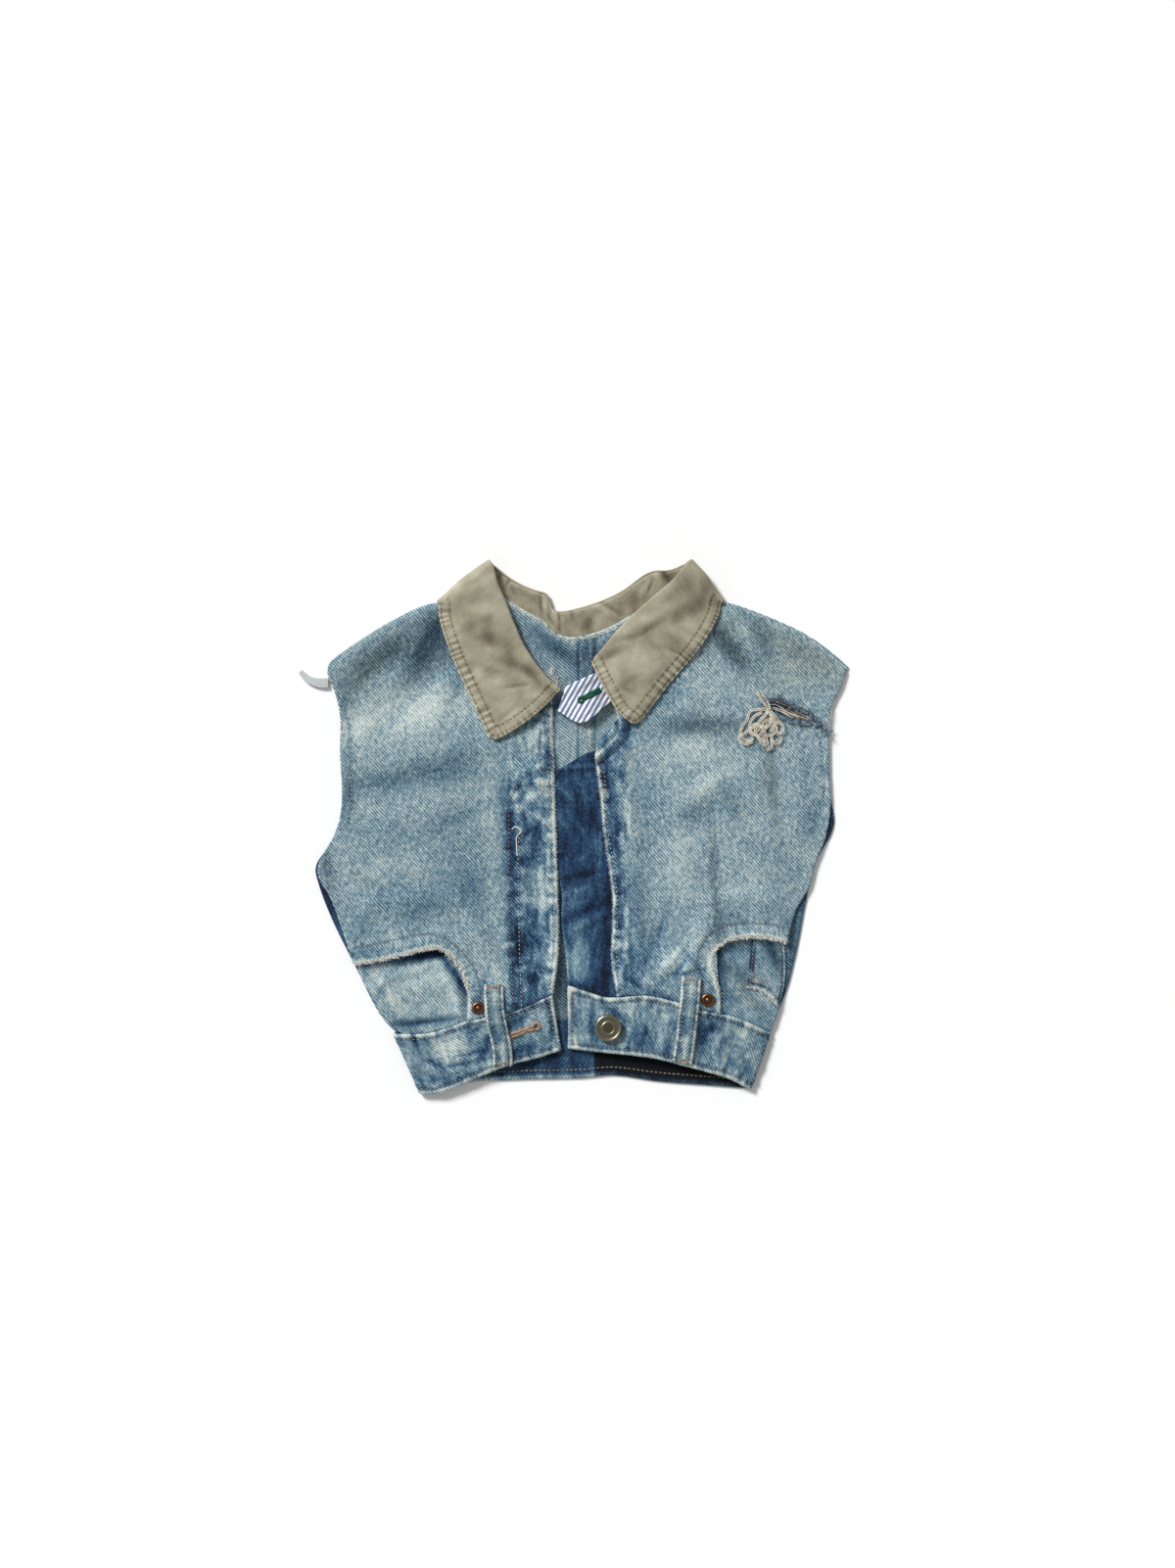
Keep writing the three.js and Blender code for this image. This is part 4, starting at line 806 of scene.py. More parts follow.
INNER_DENIM = twill_cloth("inner_denim", INDIGO, twill=0.34, grain=0.4, blotch=0.5, cloud=0.12)
join_left = Side([[BACK_JOIN, waist_line(BACK_JOIN) + 2 * SEAM], [BACK_JOIN, 128]])
join_right = Side(join_left.line[[0, -1]] + [SEAM, 0])
back_face_left = make_back(
    "denim_back_left", "back_left", waist_stretch(-126, BACK_JOIN), Side(BACK_SIDE_LEFT), join_left,
    Side(BACK_SHOULDER_LEFT, BACK_NECK_LEFT), 100)
back_face_right = make_back(
    "denim_back_right", "back_right", waist_stretch(BACK_JOIN + SEAM, 125), join_right,
    Side(BACK_SIDE_RIGHT), Side(BACK_NECK_RIGHT, BACK_SHOULDER_RIGHT), 130)
back_face = np.vstack([back_face_left.reshape(-1, 3), back_face_right.reshape(-1, 3)])
back_face = back_face[np.abs(back_face[:, 0]) < 75]
seam_lines = [outline("-.8 126, -.6 90, -.8 40"), outline("5.9 128, 6 90, 5.8 40")]
topstitch("back_topstitch", [settle(back_face, finer(line, 2)) for line in seam_lines], ORANGE,
          "inner_denim", pitch=3.2, size=(2.4, 0.8, 0.5), seed=5)
neck_line = np.vstack([Side(BACK_NECK_LEFT[1:]).spaced(1.5), Side(BACK_NECK_RIGHT[:-1]).spaced(1.5)])
WHITE_FLUFF = yarn_finish("white_weft", (236, 238, 232), 0.14)
neck_lines = [settle(back_face, neck_line + [0, -0.4 * k], -0.3) for k in range(3)]
fray("back_neck_fray", neck_lines, WHITE_FLUFF, "inner_denim", length=2.8, gap=0.4, width=0.16,
     scatter=0.8, seed=6)
worn_spot = settle(back_face, finer(outline("-21 108, -20 103, -17.5 99, -16.4 95.5")), 0.1)
fray("back_worn_spot", [worn_spot, worn_spot[::-1]], WHITE_FLUFF, "inner_denim", length=2.6, gap=0.16,
     width=0.22, scatter=1.2, seed=7)

# Pocket facings. A patch of the jeans' front with its bag behind it shows below each scoop, worn
# pale. The right one carries the coin pocket: a small patch with a turned and stitched edge.
FRONT_MID = BACK_MID + LAYER
band_rows_of = {"left": BAND_FRONT_LEFT, "right": BAND_FRONT_RIGHT}
band_height = {half: reading(rows, "xTop", "z") for half, rows in band_rows_of.items()}
band_top = {half: reading(rows, "xTop", "yTop") for half, rows in band_rows_of.items()}
WAIST_REACH = 42
POCKET_LEFT_OUTER = outline("-120.6 -138.6, -129 -132, -141 -114, -151 -94, -149 -78, -140 -56")
POCKET_LEFT_INNER = outline("-66 -127.4, -67 -104, -73 -78, -82 -56")
POCKET_RIGHT_INNER = outline("83 -123, 79 -104, 83 -78, 92 -54")
POCKET_RIGHT_OUTER = outline("125.6 -137.4, 131 -124, 136 -102, 136 -84, 133 -66, 126 -54")
COIN_INNER = outline("110.9 -106, 113 -86, 116 -62")
COIN_OUTER = outline("130.6 -118, 133.4 -105, 133.6 -84, 130 -64")
POCKET_FOLDS = table("x y turn long wide high", """
    -112 -110 10 30 11 2.6, -112 -88 10 34 7 -1.2, -96 -124 20 24 8 .8, 104 -96 70 22 7 1.6,
    116 -112 130 20 6 1.2, 92 -106 110 14 4 .8""")
POCKET_CREASES = table("x y turn long wide high", """
    -127 -118 118 20 2.2 1.2, -104 -131 6 26 2 -1.6, -90 -104 125 18 2.6 1.2, -120 -98 20 20 3 1,
    -134 -102 60 14 2.2 1, -84 -118 100 14 2 1.2, -80 -112 105 16 1.6 -1.2, -98 -118 150 20 2 .8,
    -112 -112 165 22 2 -.7, 96 -98 104 16 2.8 -1.4, 104 -119 128 11 2.6 -1.4, 101 -96 110 16 3.2 1.3,
    110 -115 125 13 2.8 1.4, 106 -94 112 16 2.4 -1.1, 118 -117 130 14 2.2 -1.1, 89 -104 85 14 2.6 .8,
    122 -124 130 12 2.4 .9""")
# Fading on the facings, with painted shadow just under the scoops' edges and painted shade along the
# facings' folds.
POCKET_WASH_AND_SHADE = table("x y turn long wide fade grime", """
    -112 -106 10 30 11 .02 0, -102 -85 10 26 3.6 -.8 .2, -86 -99 125 16 2.6 -.5 .2,
    -128 -102 40 14 8 -.09 .1, -132 -118 120 22 4 -.08 .1, 93 -112 100 16 3.4 -.22 .1,
    -106 -131 6 26 3.4 -.28 .3, -78 -112 100 18 5 -.3 .3, -146 -93 80 8 3 -.3 0, 102 -101 128 22 6 -.16 .4,
    96 -90 130 14 3 -.1 .2, 109 -108 122 18 3 .1 0, 88 -104 85 20 5 -.2 .25, 120 -124 130 16 5 -.12 .15,
    100 -82 10 20 5 -.2 .2, 127 -92 80 24 5 -.06 .1, 115 -115 130 20 8 .14 0, 130 -112 80 16 4 -.16 .1,
    -122 -131 150 10 4 -.1 .15, 89 -109 85 14 5 -.08 .1""")


def near_band(half, x, y):
    return 1 - ease((y - band_top[half](x)) / WAIST_REACH)


def meet_band(half, x, y, height, level):
    """A height that comes down to the waistband's own level at its top edge."""
    share = near_band(half, x, y)
    return height * (1 - share) + (band_height[half](x) + level) * share


def pocket_height(half, x, y):
    inside = ease((-72 - y) / 16)
    creases = spots(POCKET_CREASES, "high", x, y) + 0.2 * wander(x, y, 6, 31)
    level = FRONT_MID + spots(POCKET_FOLDS, "high", x, y) * inside
    return meet_band(half, x, y, level, -LAYER / 2) + creases * inside * ease((y - band_top[half](x)) / 6)


def band_stretch(half, start, end):
    x = np.linspace(start, end, 5)
    return np.column_stack([x, band_top[half](x) + SEAM])


def make_pocket(half, start, end, left, right, fade):
    top = Side([left(1), (left(1) + right(1)) / 2 + [0, 2], right(1)])
    grid = plan(Side(band_stretch(half, start, end)), top, left, right, shares(76), shares(96))
    x, y = grid[..., 0], grid[..., 1]
    outer, inner = walls(np.dstack([x, y, pocket_height(half, x, y)]), DENIM)
    piece = cloth(f"denim_pocket_{half}", outer, inner, {
        "fade": (fade + spots(POCKET_WASH_AND_SHADE, "fade", x, y) + 0.05 * spots(POCKET_CREASES, "high", x, y)
                 # A painted shadow line runs just above the waistband's top edge.
                 + 0.08 * wander(x, y, 5, 33) - 0.24 * bell(y - band_top[half](x), 2.2)),
        "mottle": 0.3, "grime": np.clip(0.12 + spots(POCKET_WASH_AND_SHADE, "grime", x, y), 0, 1),
        "weave": weave_of(grid)})
    dress(piece, POCKET_DENIM, "pocket_denim", [f"pocket_{half}"])


POCKET_DENIM = twill_cloth("pocket_denim", INDIGO, twill=0.3, grain=0.44, blotch=0.3)
make_pocket("left", -120.6, -66, Side(POCKET_LEFT_OUTER), Side(POCKET_LEFT_INNER), 0.8)
make_pocket("right", 83, 125.6, Side(POCKET_RIGHT_INNER), Side(POCKET_RIGHT_OUTER), 0.7)

COIN_HEM = 5.0
COIN_CLEAR = 3.0
CROSS = ((0, 0), (1, 0), (-1, 0), (0, 1), (0, -1))


def peak(height, half, x, y, reach, ways=CROSS):
    """The highest of a cloth's heights close round a point, so that what lies on it clears it."""
    return np.max([height(half, x + reach * a, y + reach * b) for a, b in ways], axis=0)


coin_low = Side(outline("110.9 -106, 122 -109.4, 130.6 -118"))
coin_top = Side(outline("116 -62, 130 -64"))
coin_grid = plan(coin_low, coin_top, Side(COIN_INNER), Side(COIN_OUTER), shares(30), shares(70))
x, y = coin_grid[..., 0], coin_grid[..., 1]
_, from_hem = beside(coin_low.line, x, y)
_, from_edge = beside(Side(COIN_INNER).line, x, y)
coin_edge = np.minimum(np.abs(from_hem), np.abs(from_edge))
coin_pucker = wander(x, y, 3.0, 35) * bell(coin_edge, 4)
coin_height = peak(pocket_height, "right", x, y, COIN_CLEAR) + LAYER - 0.3 + 0.3 * coin_pucker
coin_outer, coin_inner = walls(np.dstack([x, y, coin_height]), DENIM,
                               0.5 * ease((COIN_HEM + 1 - np.abs(from_hem)) / 1.5))
coin_shade = spots(table("x y turn long wide dark", "128 -84 115 16 5 1"), "dark", x, y)
coin = cloth("denim_coin_pocket", coin_outer, coin_inner, {
    "fade": (0.68 + 0.34 * bell(from_hem, 1.1) + 0.3 * coin_pucker - 0.3 * coin_shade
             - 0.3 * bell(coin_edge - 2.2, 0.9) - 0.3 * bell(from_edge, 1.1)),
    "mottle": 0.6, "grime": 0.2 + 0.6 * coin_shade, "weave": weave_of(coin_grid)})
dress(coin, POCKET_DENIM, "pocket_denim", ["coin_pocket"])
hem_rows = [coin_low.spaced(1) + [0.2, away] for away in (1.4, COIN_HEM + 0.8)]
coin_rows = [settle(coin_outer, line) for line in (*hem_rows, Side(COIN_INNER).spaced(1) + [1.6, 0])]
topstitch("coin_topstitch", coin_rows, ORANGE, "pocket_denim", pitch=2.6, size=(1.9, 0.7, 0.45), seed=8)
TACK = {"x": 114.4, "y": -103.6, "side": 6.5}
tack_box = outline("0 .9, 0 0, 1 -.25, 1 .2, .1 .45") * TACK["side"] + [TACK["x"], TACK["y"]]
topstitch("coin_tack", [settle(coin_outer, finer(tack_box), 0.1)], ORANGE, "pocket_denim", pitch=1.3,
          size=(1.5, 0.8, 0.5), seed=9)
fray("coin_fluff", [settle(coin_outer, coin_low.spaced(1), -0.3)], WHITE_FLUFF, "pocket_denim", length=2.0,
     gap=0.12, width=0.2, scatter=0.6, seed=10)

# Fly shield. The jeans' fly underlap: a dark, hardly faded tongue of denim behind the right
# front, creased across where the zip used to bend it.
SHIELD_MID = 3.1
SHIELD_LEFT_EDGE = outline("-9.4 -106.5, -11 -85, -14 -62, -13.6 -44, -19 -22, -23 10, -23.8 34")
SHIELD_RIGHT_EDGE = outline("31 -112.8, 31 -60, 28 -20, 25 20, 21 46")
SHIELD_TOP = outline("-23.8 34, -8 43.5, 3.3 50, 12 51, 21 46")
SHIELD_FOLDS = table("x y turn long wide high", "-4 -34 10 20 5 .5, 0 -62 20 22 7 .5")
# Creases on the shield. Their fade column makes ridges paler and hollows darker: wear on the ridges and
# painted shade in the hollows.
SHIELD_CREASES = table("x y turn long wide high fade", """
    -5 38.5 3 22 1 -.7 -.12, -4 41 4 20 1.3 .5 .16, -16 27 140 9 1.5 .5 .14, -10 22 135 11 1.7 .6 .12,
    -2 30 115 9 1.6 .4 .1, -13 4 130 11 1.7 .5 .13, -3 2 125 9 1.5 .5 .12, 2 14 95 18 1.8 .3 .08,
    -16 -10 40 9 1.6 .4 .07, -5 -22 12 16 2.2 .4 .1, -3 -32 14 19 2.6 -.7 -.2, 0 -42 15 17 2.2 .6 .09,
    2 -56 22 17 3.2 -.8 -.22, 0 -65 28 17 2.4 .6 .14, -4 -80 60 12 2.4 .5 .1, 7 -88 78 14 2 -.5 -.1,
    3 -96 70 12 2.2 .5 .1""")
SHIELD_WASH = table("x y turn long wide fade grime", """
    -4 -88 80 24 9 .3 .1, -2 -107 165 12 3.4 -.26 0, 12 -8 90 22 1 .16 0, 15.5 -14 90 24 .9 .14 0,
    9 -20 90 26 1 .1 0, 18 -60 90 40 5 -.16 0, 4 45 10 16 3 -.06 0, -4 10 90 22 12 -.1 0,
    15 -100 90 16 4 -.2 0, -4 -46 90 12 9 .14 0, -3 -92 80 14 9 .14 0""")


def shield_height(x, y):
    return meet_band("right", x, y, SHIELD_MID + spots(SHIELD_FOLDS, "high", x, y), -LAYER / 2)


shield_left = Side(SHIELD_LEFT_EDGE)
shield_grid = plan(Side(band_stretch("right", -9.4, 31)), Side(SHIELD_TOP), shield_left,
                   Side(SHIELD_RIGHT_EDGE), shares(56), shares(140))
x, y = shield_grid[..., 0], shield_grid[..., 1]
tuck = ease((16 - x) / 8)
creases = spots(SHIELD_CREASES, "high", x, y) + 0.12 * wander(x, y, 4, 41)
shield_outer, shield_inner = walls(np.dstack([x, y, shield_height(x, y) + 0.8 * tuck * creases]), DENIM)
_, from_left = beside(shield_left.spaced(), x, y)
shield_fade_and_shade = (0.26 + spots(SHIELD_WASH, "fade", x, y) + spots(SHIELD_CREASES, "fade", x, y)
               + 0.16 * bell(from_left, 1.2) + 0.1 * wander(x, y * 0.4, 4, 42)
               + 0.07 * wander(x, y * 0.2, 1.8, 43))
shield = cloth("denim_fly_shield", shield_outer, shield_inner, {
    "fade": shield_fade_and_shade, "mottle": 0.35, "grime": np.clip(spots(SHIELD_WASH, "grime", x, y), 0, 1),
    "weave": weave_of(shield_grid)})
DARK_DENIM = twill_cloth("dark_denim", INDIGO, twill=0.18, grain=0.42, blotch=0.6, cloud=0.12)
dress(shield, DARK_DENIM, "dark_denim", ["fly_shield"])

# Fronts. Each is a trouser leg's front turned upside down, washed pale, with the jeans' scoop
# pocket cut into its lower side. Sewn edges are gathered by their topstitch and worn at the
# ridges; the neck, centre and scoop edges are raw and fray white. The right one has a rip.
FRONT_ON_SHIELD = 2.6
FRONT_ON_POCKET = 1.9
FRONT_SIDE_LEFT = outline("""
    -154 -91, -162 -67, -170 -46, -177 -34, -177.4 -25, -166 -3, -161.7 16, -163 52, -163 78, -169.5 103""")
FRONT_SHOULDER_LEFT = outline("""
    -169.5 103, -168 108.6, -158.5 116.6, -142 128, -122 139.4, -107 146.4, -84 149.6, -69.5 151.6""")
FRONT_NECK_LEFT = outline("-69.5 151.6, -65 142, -56 125, -44 108, -33 96, -21 88")
FRONT_EDGE_LEFT = outline("-21 -112.7, -17.5 -88, -17 -70, -18.5 -3, -20.5 56, -21 88")
SCOOP_LEFT = outline("-154 -91, -129 -86.5, -106 -81, -97 -80, -88 -86, -80 -97, -77 -108, -77 -130.1")
FRONT_SIDE_RIGHT = outline("""
    137.3 -76, 143 -56, 152 -40, 156 -25, 163.6 -5, 166.6 14, 165.6 40, 165.6 66, 167 81, 173.5 94.5,
    177 105.6""")
FRONT_SHOULDER_RIGHT = outline("64 150.6, 78 149, 97 148, 122 140.4, 148.5 128.4, 167 115.4, 177 105.6")
FRONT_NECK_RIGHT = outline("18 88, 18 100, 27 112, 37 123, 50 136, 58 144.6, 64 150.6")
FRONT_EDGE_RIGHT = outline("23.8 -113, 20 -88, 21 -62, 20.5 -43, 14.5 0, 12.5 22, 8.8 49")
FRONT_FLAP_RIGHT = outline("8.8 49, 17 56, 24 64, 24.5 74, 18 88")
SCOOP_RIGHT = outline("""
    91.4 -124.9, 91.5 -111, 86.5 -97, 86.3 -86, 94 -76.5, 109 -72.7, 124 -73, 137.3 -76""")
RIP = outline("122.6 86, 131 87, 141 81.5, 151 77, 158.5 70.5, 149 71, 138 73.5, 128 77, 123.5 81")
FRONT_FOLDS = table("x y turn long wide high", """
    -95 30 80 75 42 2.4, -130 96 35 34 9 1.5, -112 112 30 30 8 1.2, -120 -10 150 40 12 1,
    -75 -45 130 36 11 1.4, -60 -92 115 24 8 1.2, -112 -82 10 34 8 2.6, -42 0 90 60 8 .9,
    -148 55 75 30 8 .8, 95 15 95 75 42 2.4, 104 118 145 34 9 1.5, 70 96 110 30 9 1.1, 118 40 60 34 10 1,
    60 -20 100 46 10 1, 88 -62 65 30 9 1.4, 62 -92 160 18 7 1.4, 108 -74 175 26 8 2.4, 140 0 80 34 9 .9,
    76 -94 125 16 5 1""")
# Creases. Their fade column makes ridges paler and hollows darker: wear on the ridges and painted shade in
# the hollows.
FRONT_CREASES = {
    "left": table("x y turn long wide high fade", """
        -126 74 42 26 5 -.5 -.1, -146 92 38 18 5 .4 0, -97 104 30 26 5 -.4 -.05, -110 36 14 46 9 -.6 -.05,
        -84 22 20 30 8 .4 .02, -130 12 170 26 7 .4 .02, -100 -38 140 30 8 .5 .04,
        -72 -58 118 24 6 -.5 -.05, -140 -52 120 22 6 .4 .03, -44 26 96 34 4 .5 .1,
        -47 -20 92 40 2.6 -.5 -.18, -38 18 35 9 2 .6 .12, -32 8 150 8 1.8 .6 .14, -36 -3 30 8 1.8 -.5 -.14,
        -30 -9 120 9 1.6 .5 .12, -41 -34 80 16 2 .5 .1, -27 -40 95 22 1.8 .4 .1, -35 -62 100 14 1.8 .5 .12,
        -40 -80 70 12 2.2 -.5 -.14, -30 -90 100 15 2 .5 .12, -57 -98 110 14 2.6 .7 .08,
        -66 -104 75 12 2.4 -.5 -.08, -50 -108 95 10 2.2 .6 .08"""),
    "right": table("x y turn long wide high fade", """
        94 124 128 22 6 -.5 -.04, 121 128 110 24 6 -.4 -.04, 74 70 5 24 7 -.7 -.05, 100 68 15 24 6 .4 .02,
        77 12 25 12 5 -.7 -.04, 96 16 100 14 5 -.6 -.02, 84 28 35 18 6 .6 .05, 112 0 165 26 7 .5 .03,
        128 34 95 30 5 -.5 0, 90 -36 92 50 4 -.5 0, 70 -40 100 40 7 .5 .04, 122 -40 110 26 6 .4 .03,
        52 -70 70 22 3.5 -.6 -.1, 61 -88 55 14 2.2 .9 .1, 68 -92 52 13 2 -.9 -.18, 73 -86 60 14 2 .9 .1,
        64 -99 40 12 2 .8 .08, 52 -105 65 10 2.2 -.7 -.14, 43 -103 80 10 2 .7 .08, 55 -97 72 12 2 .7 .06,
        27 -96 80 14 2.2 .6 .1, 33 -88 95 18 2 -.5 -.14, 30 -60 90 30 1.6 .4 .08, 26 0 92 30 1.5 .4 .1,
        84 -108 85 12 2.2 .6 .06, 75 -91 126 11 1.6 -.7 -.2, 67 -98 8 11 1.6 -.6 -.18,
        35 -104 146 9 1.8 -.9 -.2, 54 -112.5 164 12 1.8 -.8 -.16, 50 -106 150 12 2.4 .8 .06"""),
}
# Fading on the fronts, with painted shade along the collar's outer edges and in the shoulder folds. There
# the grey-olive column is part grime and part painted shade.
FRONT_WASH_AND_SHADE = {
    "left": table("x y turn long wide fade grime", """
        -133 115 48 34 8 -.07 .42, -107 116 20 26 9 -.13 .4, -151 98 60 18 8 -.06 .38,
        -94 130 120 20 7 -.1 .35, -160 86 80 14 6 -.08 .3, -126 76 18 36 10 .05 0,
        -92 82 10 30 11 .03 -.02, -150 62 90 20 7 .04 0, -118 36 14 46 9 -.1 .34, -158 30 88 24 5 -.1 .35,
        -78 34 20 22 8 -.08 .2, -66 58 100 20 8 0 0, -118 2 160 34 9 .03 0, -86 8 30 14 6 -.08 .12,
        -130 -26 20 30 9 .04 .05, -172 -26 100 20 5 -.1 .5, -150 -32 140 8 5 .02 .3,
        -100 -52 20 20 8 -.07 .15, -78 -30 110 24 8 -.05 .05, -125 -64 10 36 8 .04 0,
        -96 -72 0 40 5 .02 .05, -62 -4 94 60 5 .06 0, -61 -70 100 22 6 -.05 0, -49 -30 92 72 5 -.22 0,
        -40 30 50 20 9 -.2 0, -38 -12 90 24 12 -.3 -.05, -30 -70 90 22 13 -.27 -.05,
        -28 -38 90 14 5 -.04 .05, -24 60 90 26 4 -.12 .1, -30 76 60 14 6 -.16 .1, -44 74 30 14 10 -.1 0,
        -36 -104 90 10 12 -.3 0, -56 -118 0 14 7 -.3 0, -27 -50 90 40 2.4 .12 .05,
        -33 -46 90 36 1.8 .1 .05, -23 10 90 14 4 .05 .05, -146 -66 60 18 6 -.06 .1,
        -140 -84 5 30 4 -.1 .08, -70 -92 120 18 6 .02 0, -122 76 15 46 16 .17 -.08,
        -112 0 170 46 18 -.08 .1, -104 -48 20 50 22 -.13 .05, -82 54 60 20 12 -.04 0,
        -137 117 30 34 9 -.1 .5, -104 125 62 24 8 -.24 .4, -84 96 66 26 6 -.12 .2,
        -104 125 62 20 8 -.02 .4, -33 -76 90 16 8 -.14 0, -46 -80 90 18 3.4 -.2 0, -34 -99 90 12 6 -.1 0,
        -50 -10 90 14 4 .06 0, -34 -2 90 24 7 -.12 0, -34 -76 90 30 8 -.16 0, -30 13 90 14 7 -.08 0,
        -67 -112 90 10 8 -.08 .1, -149 -59 60 16 8 -.06 .05"""),
    "right": table("x y turn long wide fade grime", """
        98 121 128 18 6 -.12 .5, 84 112 100 14 8 -.04 .15, 121 128 108 20 7 -.08 .4,
        140 122 150 26 8 -.02 .34, 168 104 120 18 8 .02 .26, 140 102 20 26 12 .06 .24,
        84 104 50 18 9 .05 0, 56 92 45 30 6 -.1 .12, 70 68 5 20 6 -.12 .4, 100 68 0 22 7 -.1 .4,
        78 50 10 24 9 .05 0, 112 52 40 20 10 .02 .05, 128 26 97 36 5 -.07 .5, 77 9 25 11 6 -.13 .36,
        100 17 100 12 6 -.12 .4, 86 32 30 12 5 .08 0, 50 24 100 30 9 -.05 .02, 44 10 90 40 7 -.02 0,
        90 -46 94 52 4 -.08 .55, 64 -32 100 36 12 .03 0, 112 -40 20 26 9 .05 0, 140 -28 110 26 9 -.02 .06,
        150 30 92 40 6 -.05 .12, 132 -60 150 20 7 -.08 .1, 96 -66 20 26 6 -.08 .15, 18 26 95 34 5 -.32 0,
        26 -30 92 60 5 -.3 0, 31 -10 90 40 2 .14 0, 27 -14 90 24 1.4 .16 0, 38 -60 95 40 4 -.16 0,
        36 -96 60 22 9 -.18 0, 60 -104 20 22 8 -.1 .1, 28 62 80 22 8 -.16 0, 34 84 60 14 6 -.14 .1,
        80 -110 90 10 7 -.06 .05, 156 8 80 14 5 -.1 .1, 69 54 20 24 12 .07 0, 43 -4 90 30 8 -.05 0,
        72 -56 20 26 14 -.05 .05, 99 124 128 22 6 -.1 .4, 18 -4 92 40 5 -.21 0, 128 -36 100 26 10 -.04 .05,
        120 66 80 12 9 -.16 .4, 99 125 120 20 8 .03 .35, 145 115 150 28 14 0 .3, 80 68 10 20 8 0 .25,
        69 -56 40 20 12 -.03 0, 129 -36 90 20 12 -.03 0, 27 -71 90 15 6 -.14 0, 86 -112 90 10 5 -.09 .1"""),
}
shield_area = np.vstack([SHIELD_LEFT_EDGE, SHIELD_TOP, SHIELD_RIGHT_EDGE[::-1]])
pocket_areas = {"left": np.vstack([POCKET_LEFT_OUTER, POCKET_LEFT_INNER[::-1]]),
                "right": np.vstack([POCKET_RIGHT_OUTER, POCKET_RIGHT_INNER[::-1]])}
on_shield = cover(shield_area, 5, 14)
on_pocket = {half: cover(area, 5, 12) for half, area in pocket_areas.items()}
front_rise = collar_rise(4)


def front_height(half, x, y):
    """The front's height over what lies under it, with its soft puffs and folds."""
    under = np.maximum(front_rise(x, y), np.maximum(FRONT_ON_POCKET * on_pocket[half](x, y),
                                                    FRONT_ON_SHIELD * on_shield(x, y)))
    return meet_band(half, x, y, FRONT_MID + under + spots(FRONT_FOLDS, "high", x, y), LAYER / 2)


def gathered(rows, x, y):
    """What rows of topstitch do to a cloth: they sink in, with painted shade in the sunk row, and the cloth
    puckers and wears beside them, paler on the puckers and with painted shade between them. Each row is a
    line, how high its puckers stand and how far a ribbed hem runs to its right."""
    height, fade = np.zeros(x.shape), np.zeros(x.shape)
    for seed, (line, high, hem) in enumerate(rows):
        along, off = beside(finer(line, 4), x, y)
        pucker = high * wander(along, off * 0.25, 3.4, 50 + seed) * bell(off, 3.4)
        ribs = np.sin(2 * math.pi * along / 4.4 + 4 * wander(along, off * 0.1, 9, 49))
        ribs *= ease(-off / 1.5) * ease((hem + off) / 2) * (0.6 + 0.6 * wander(along, 0 * off, 7, 48))
        sunk = bell(off, 0.75)
        height += pucker + 0.3 * ribs - 0.3 * sunk
        fade += 0.7 * pucker + 0.13 * ribs - 0.2 * sunk
    return height, fade


def make_front(half, bottom, top, left, right, rows, raw, strip=None, keep=None):
    grid = plan(bottom, top, left, right, shares(140, bottom, top), shares(236, left, right))
    x, y = grid[..., 0], grid[..., 1]
    gather_high, gather_fade_and_shade = gathered(rows, x, y)
    _, off_flap = beside(smooth(FRONT_FLAP_RIGHT), x, y)
    curl = bell(np.abs(off_flap) - 2.6, 1.9)
    # A groove behind the curled flap edge, which also carries a painted shadow.
    behind_curl = bell(np.abs(off_flap) - 6.6, 1.3)
    creases = spots(FRONT_CREASES[half], "high", x, y)
    near = ease((y - band_top[half](x)) / 5)
    relief = 0.2 + near * (1.3 * creases + 0.2 * wander(x, y, 9, 61) + 0.12 * wander(x, y, 4, 62)
                           + gather_high)
    relief += 1.3 * curl - 0.7 * behind_curl
    raised = 0.0 if strip is None else 0.5 * ease(1.5 - outside(strip, x, y) / 0.9)
    outer, inner = walls(np.dstack([x, y, front_height(half, x, y) + relief]), DENIM, raised)
    from_raw = np.min([np.abs(beside(line, x, y)[1]) for line in raw], axis=0)
    worn = 0.3 * bell(from_raw, 1.3) * (1 + 0.6 * wander(x, y, 2.0, 63))
    centre_zone = ease(((52 if half == "left" else 38) - np.abs(x)) / 10)
    streaks = 0.17 * wander(x, y * 0.22, 2.6, 64) + 0.13 * wander(x, y * 0.7, 5, 66)
    fade = (0.745 + spots(FRONT_WASH_AND_SHADE[half], "fade", x, y) + 1.4 * spots(FRONT_CREASES[half], "fade", x, y)
            # The last terms are a painted shadow behind the curled flap and a painted shadow line just
            # above the waistband.
            + gather_fade_and_shade + worn + centre_zone * streaks - 0.14 * curl - 0.3 * behind_curl
            - 0.26 * bell(y - band_top[half](x), 2))
    piece = cloth(f"denim_front_{half}", outer, inner, {
        "fade": fade, "mottle": 0.3 + 0.6 * centre_zone + 0.3 * bell(from_raw, 8),
        "grime": np.clip(0.1 + spots(FRONT_WASH_AND_SHADE[half], "grime", x, y), 0, 1),
        "weave": weave_of(grid)}, keep)
    dress(piece, WASHED_DENIM, "washed_denim", [f"front_{half}"])
    return outer


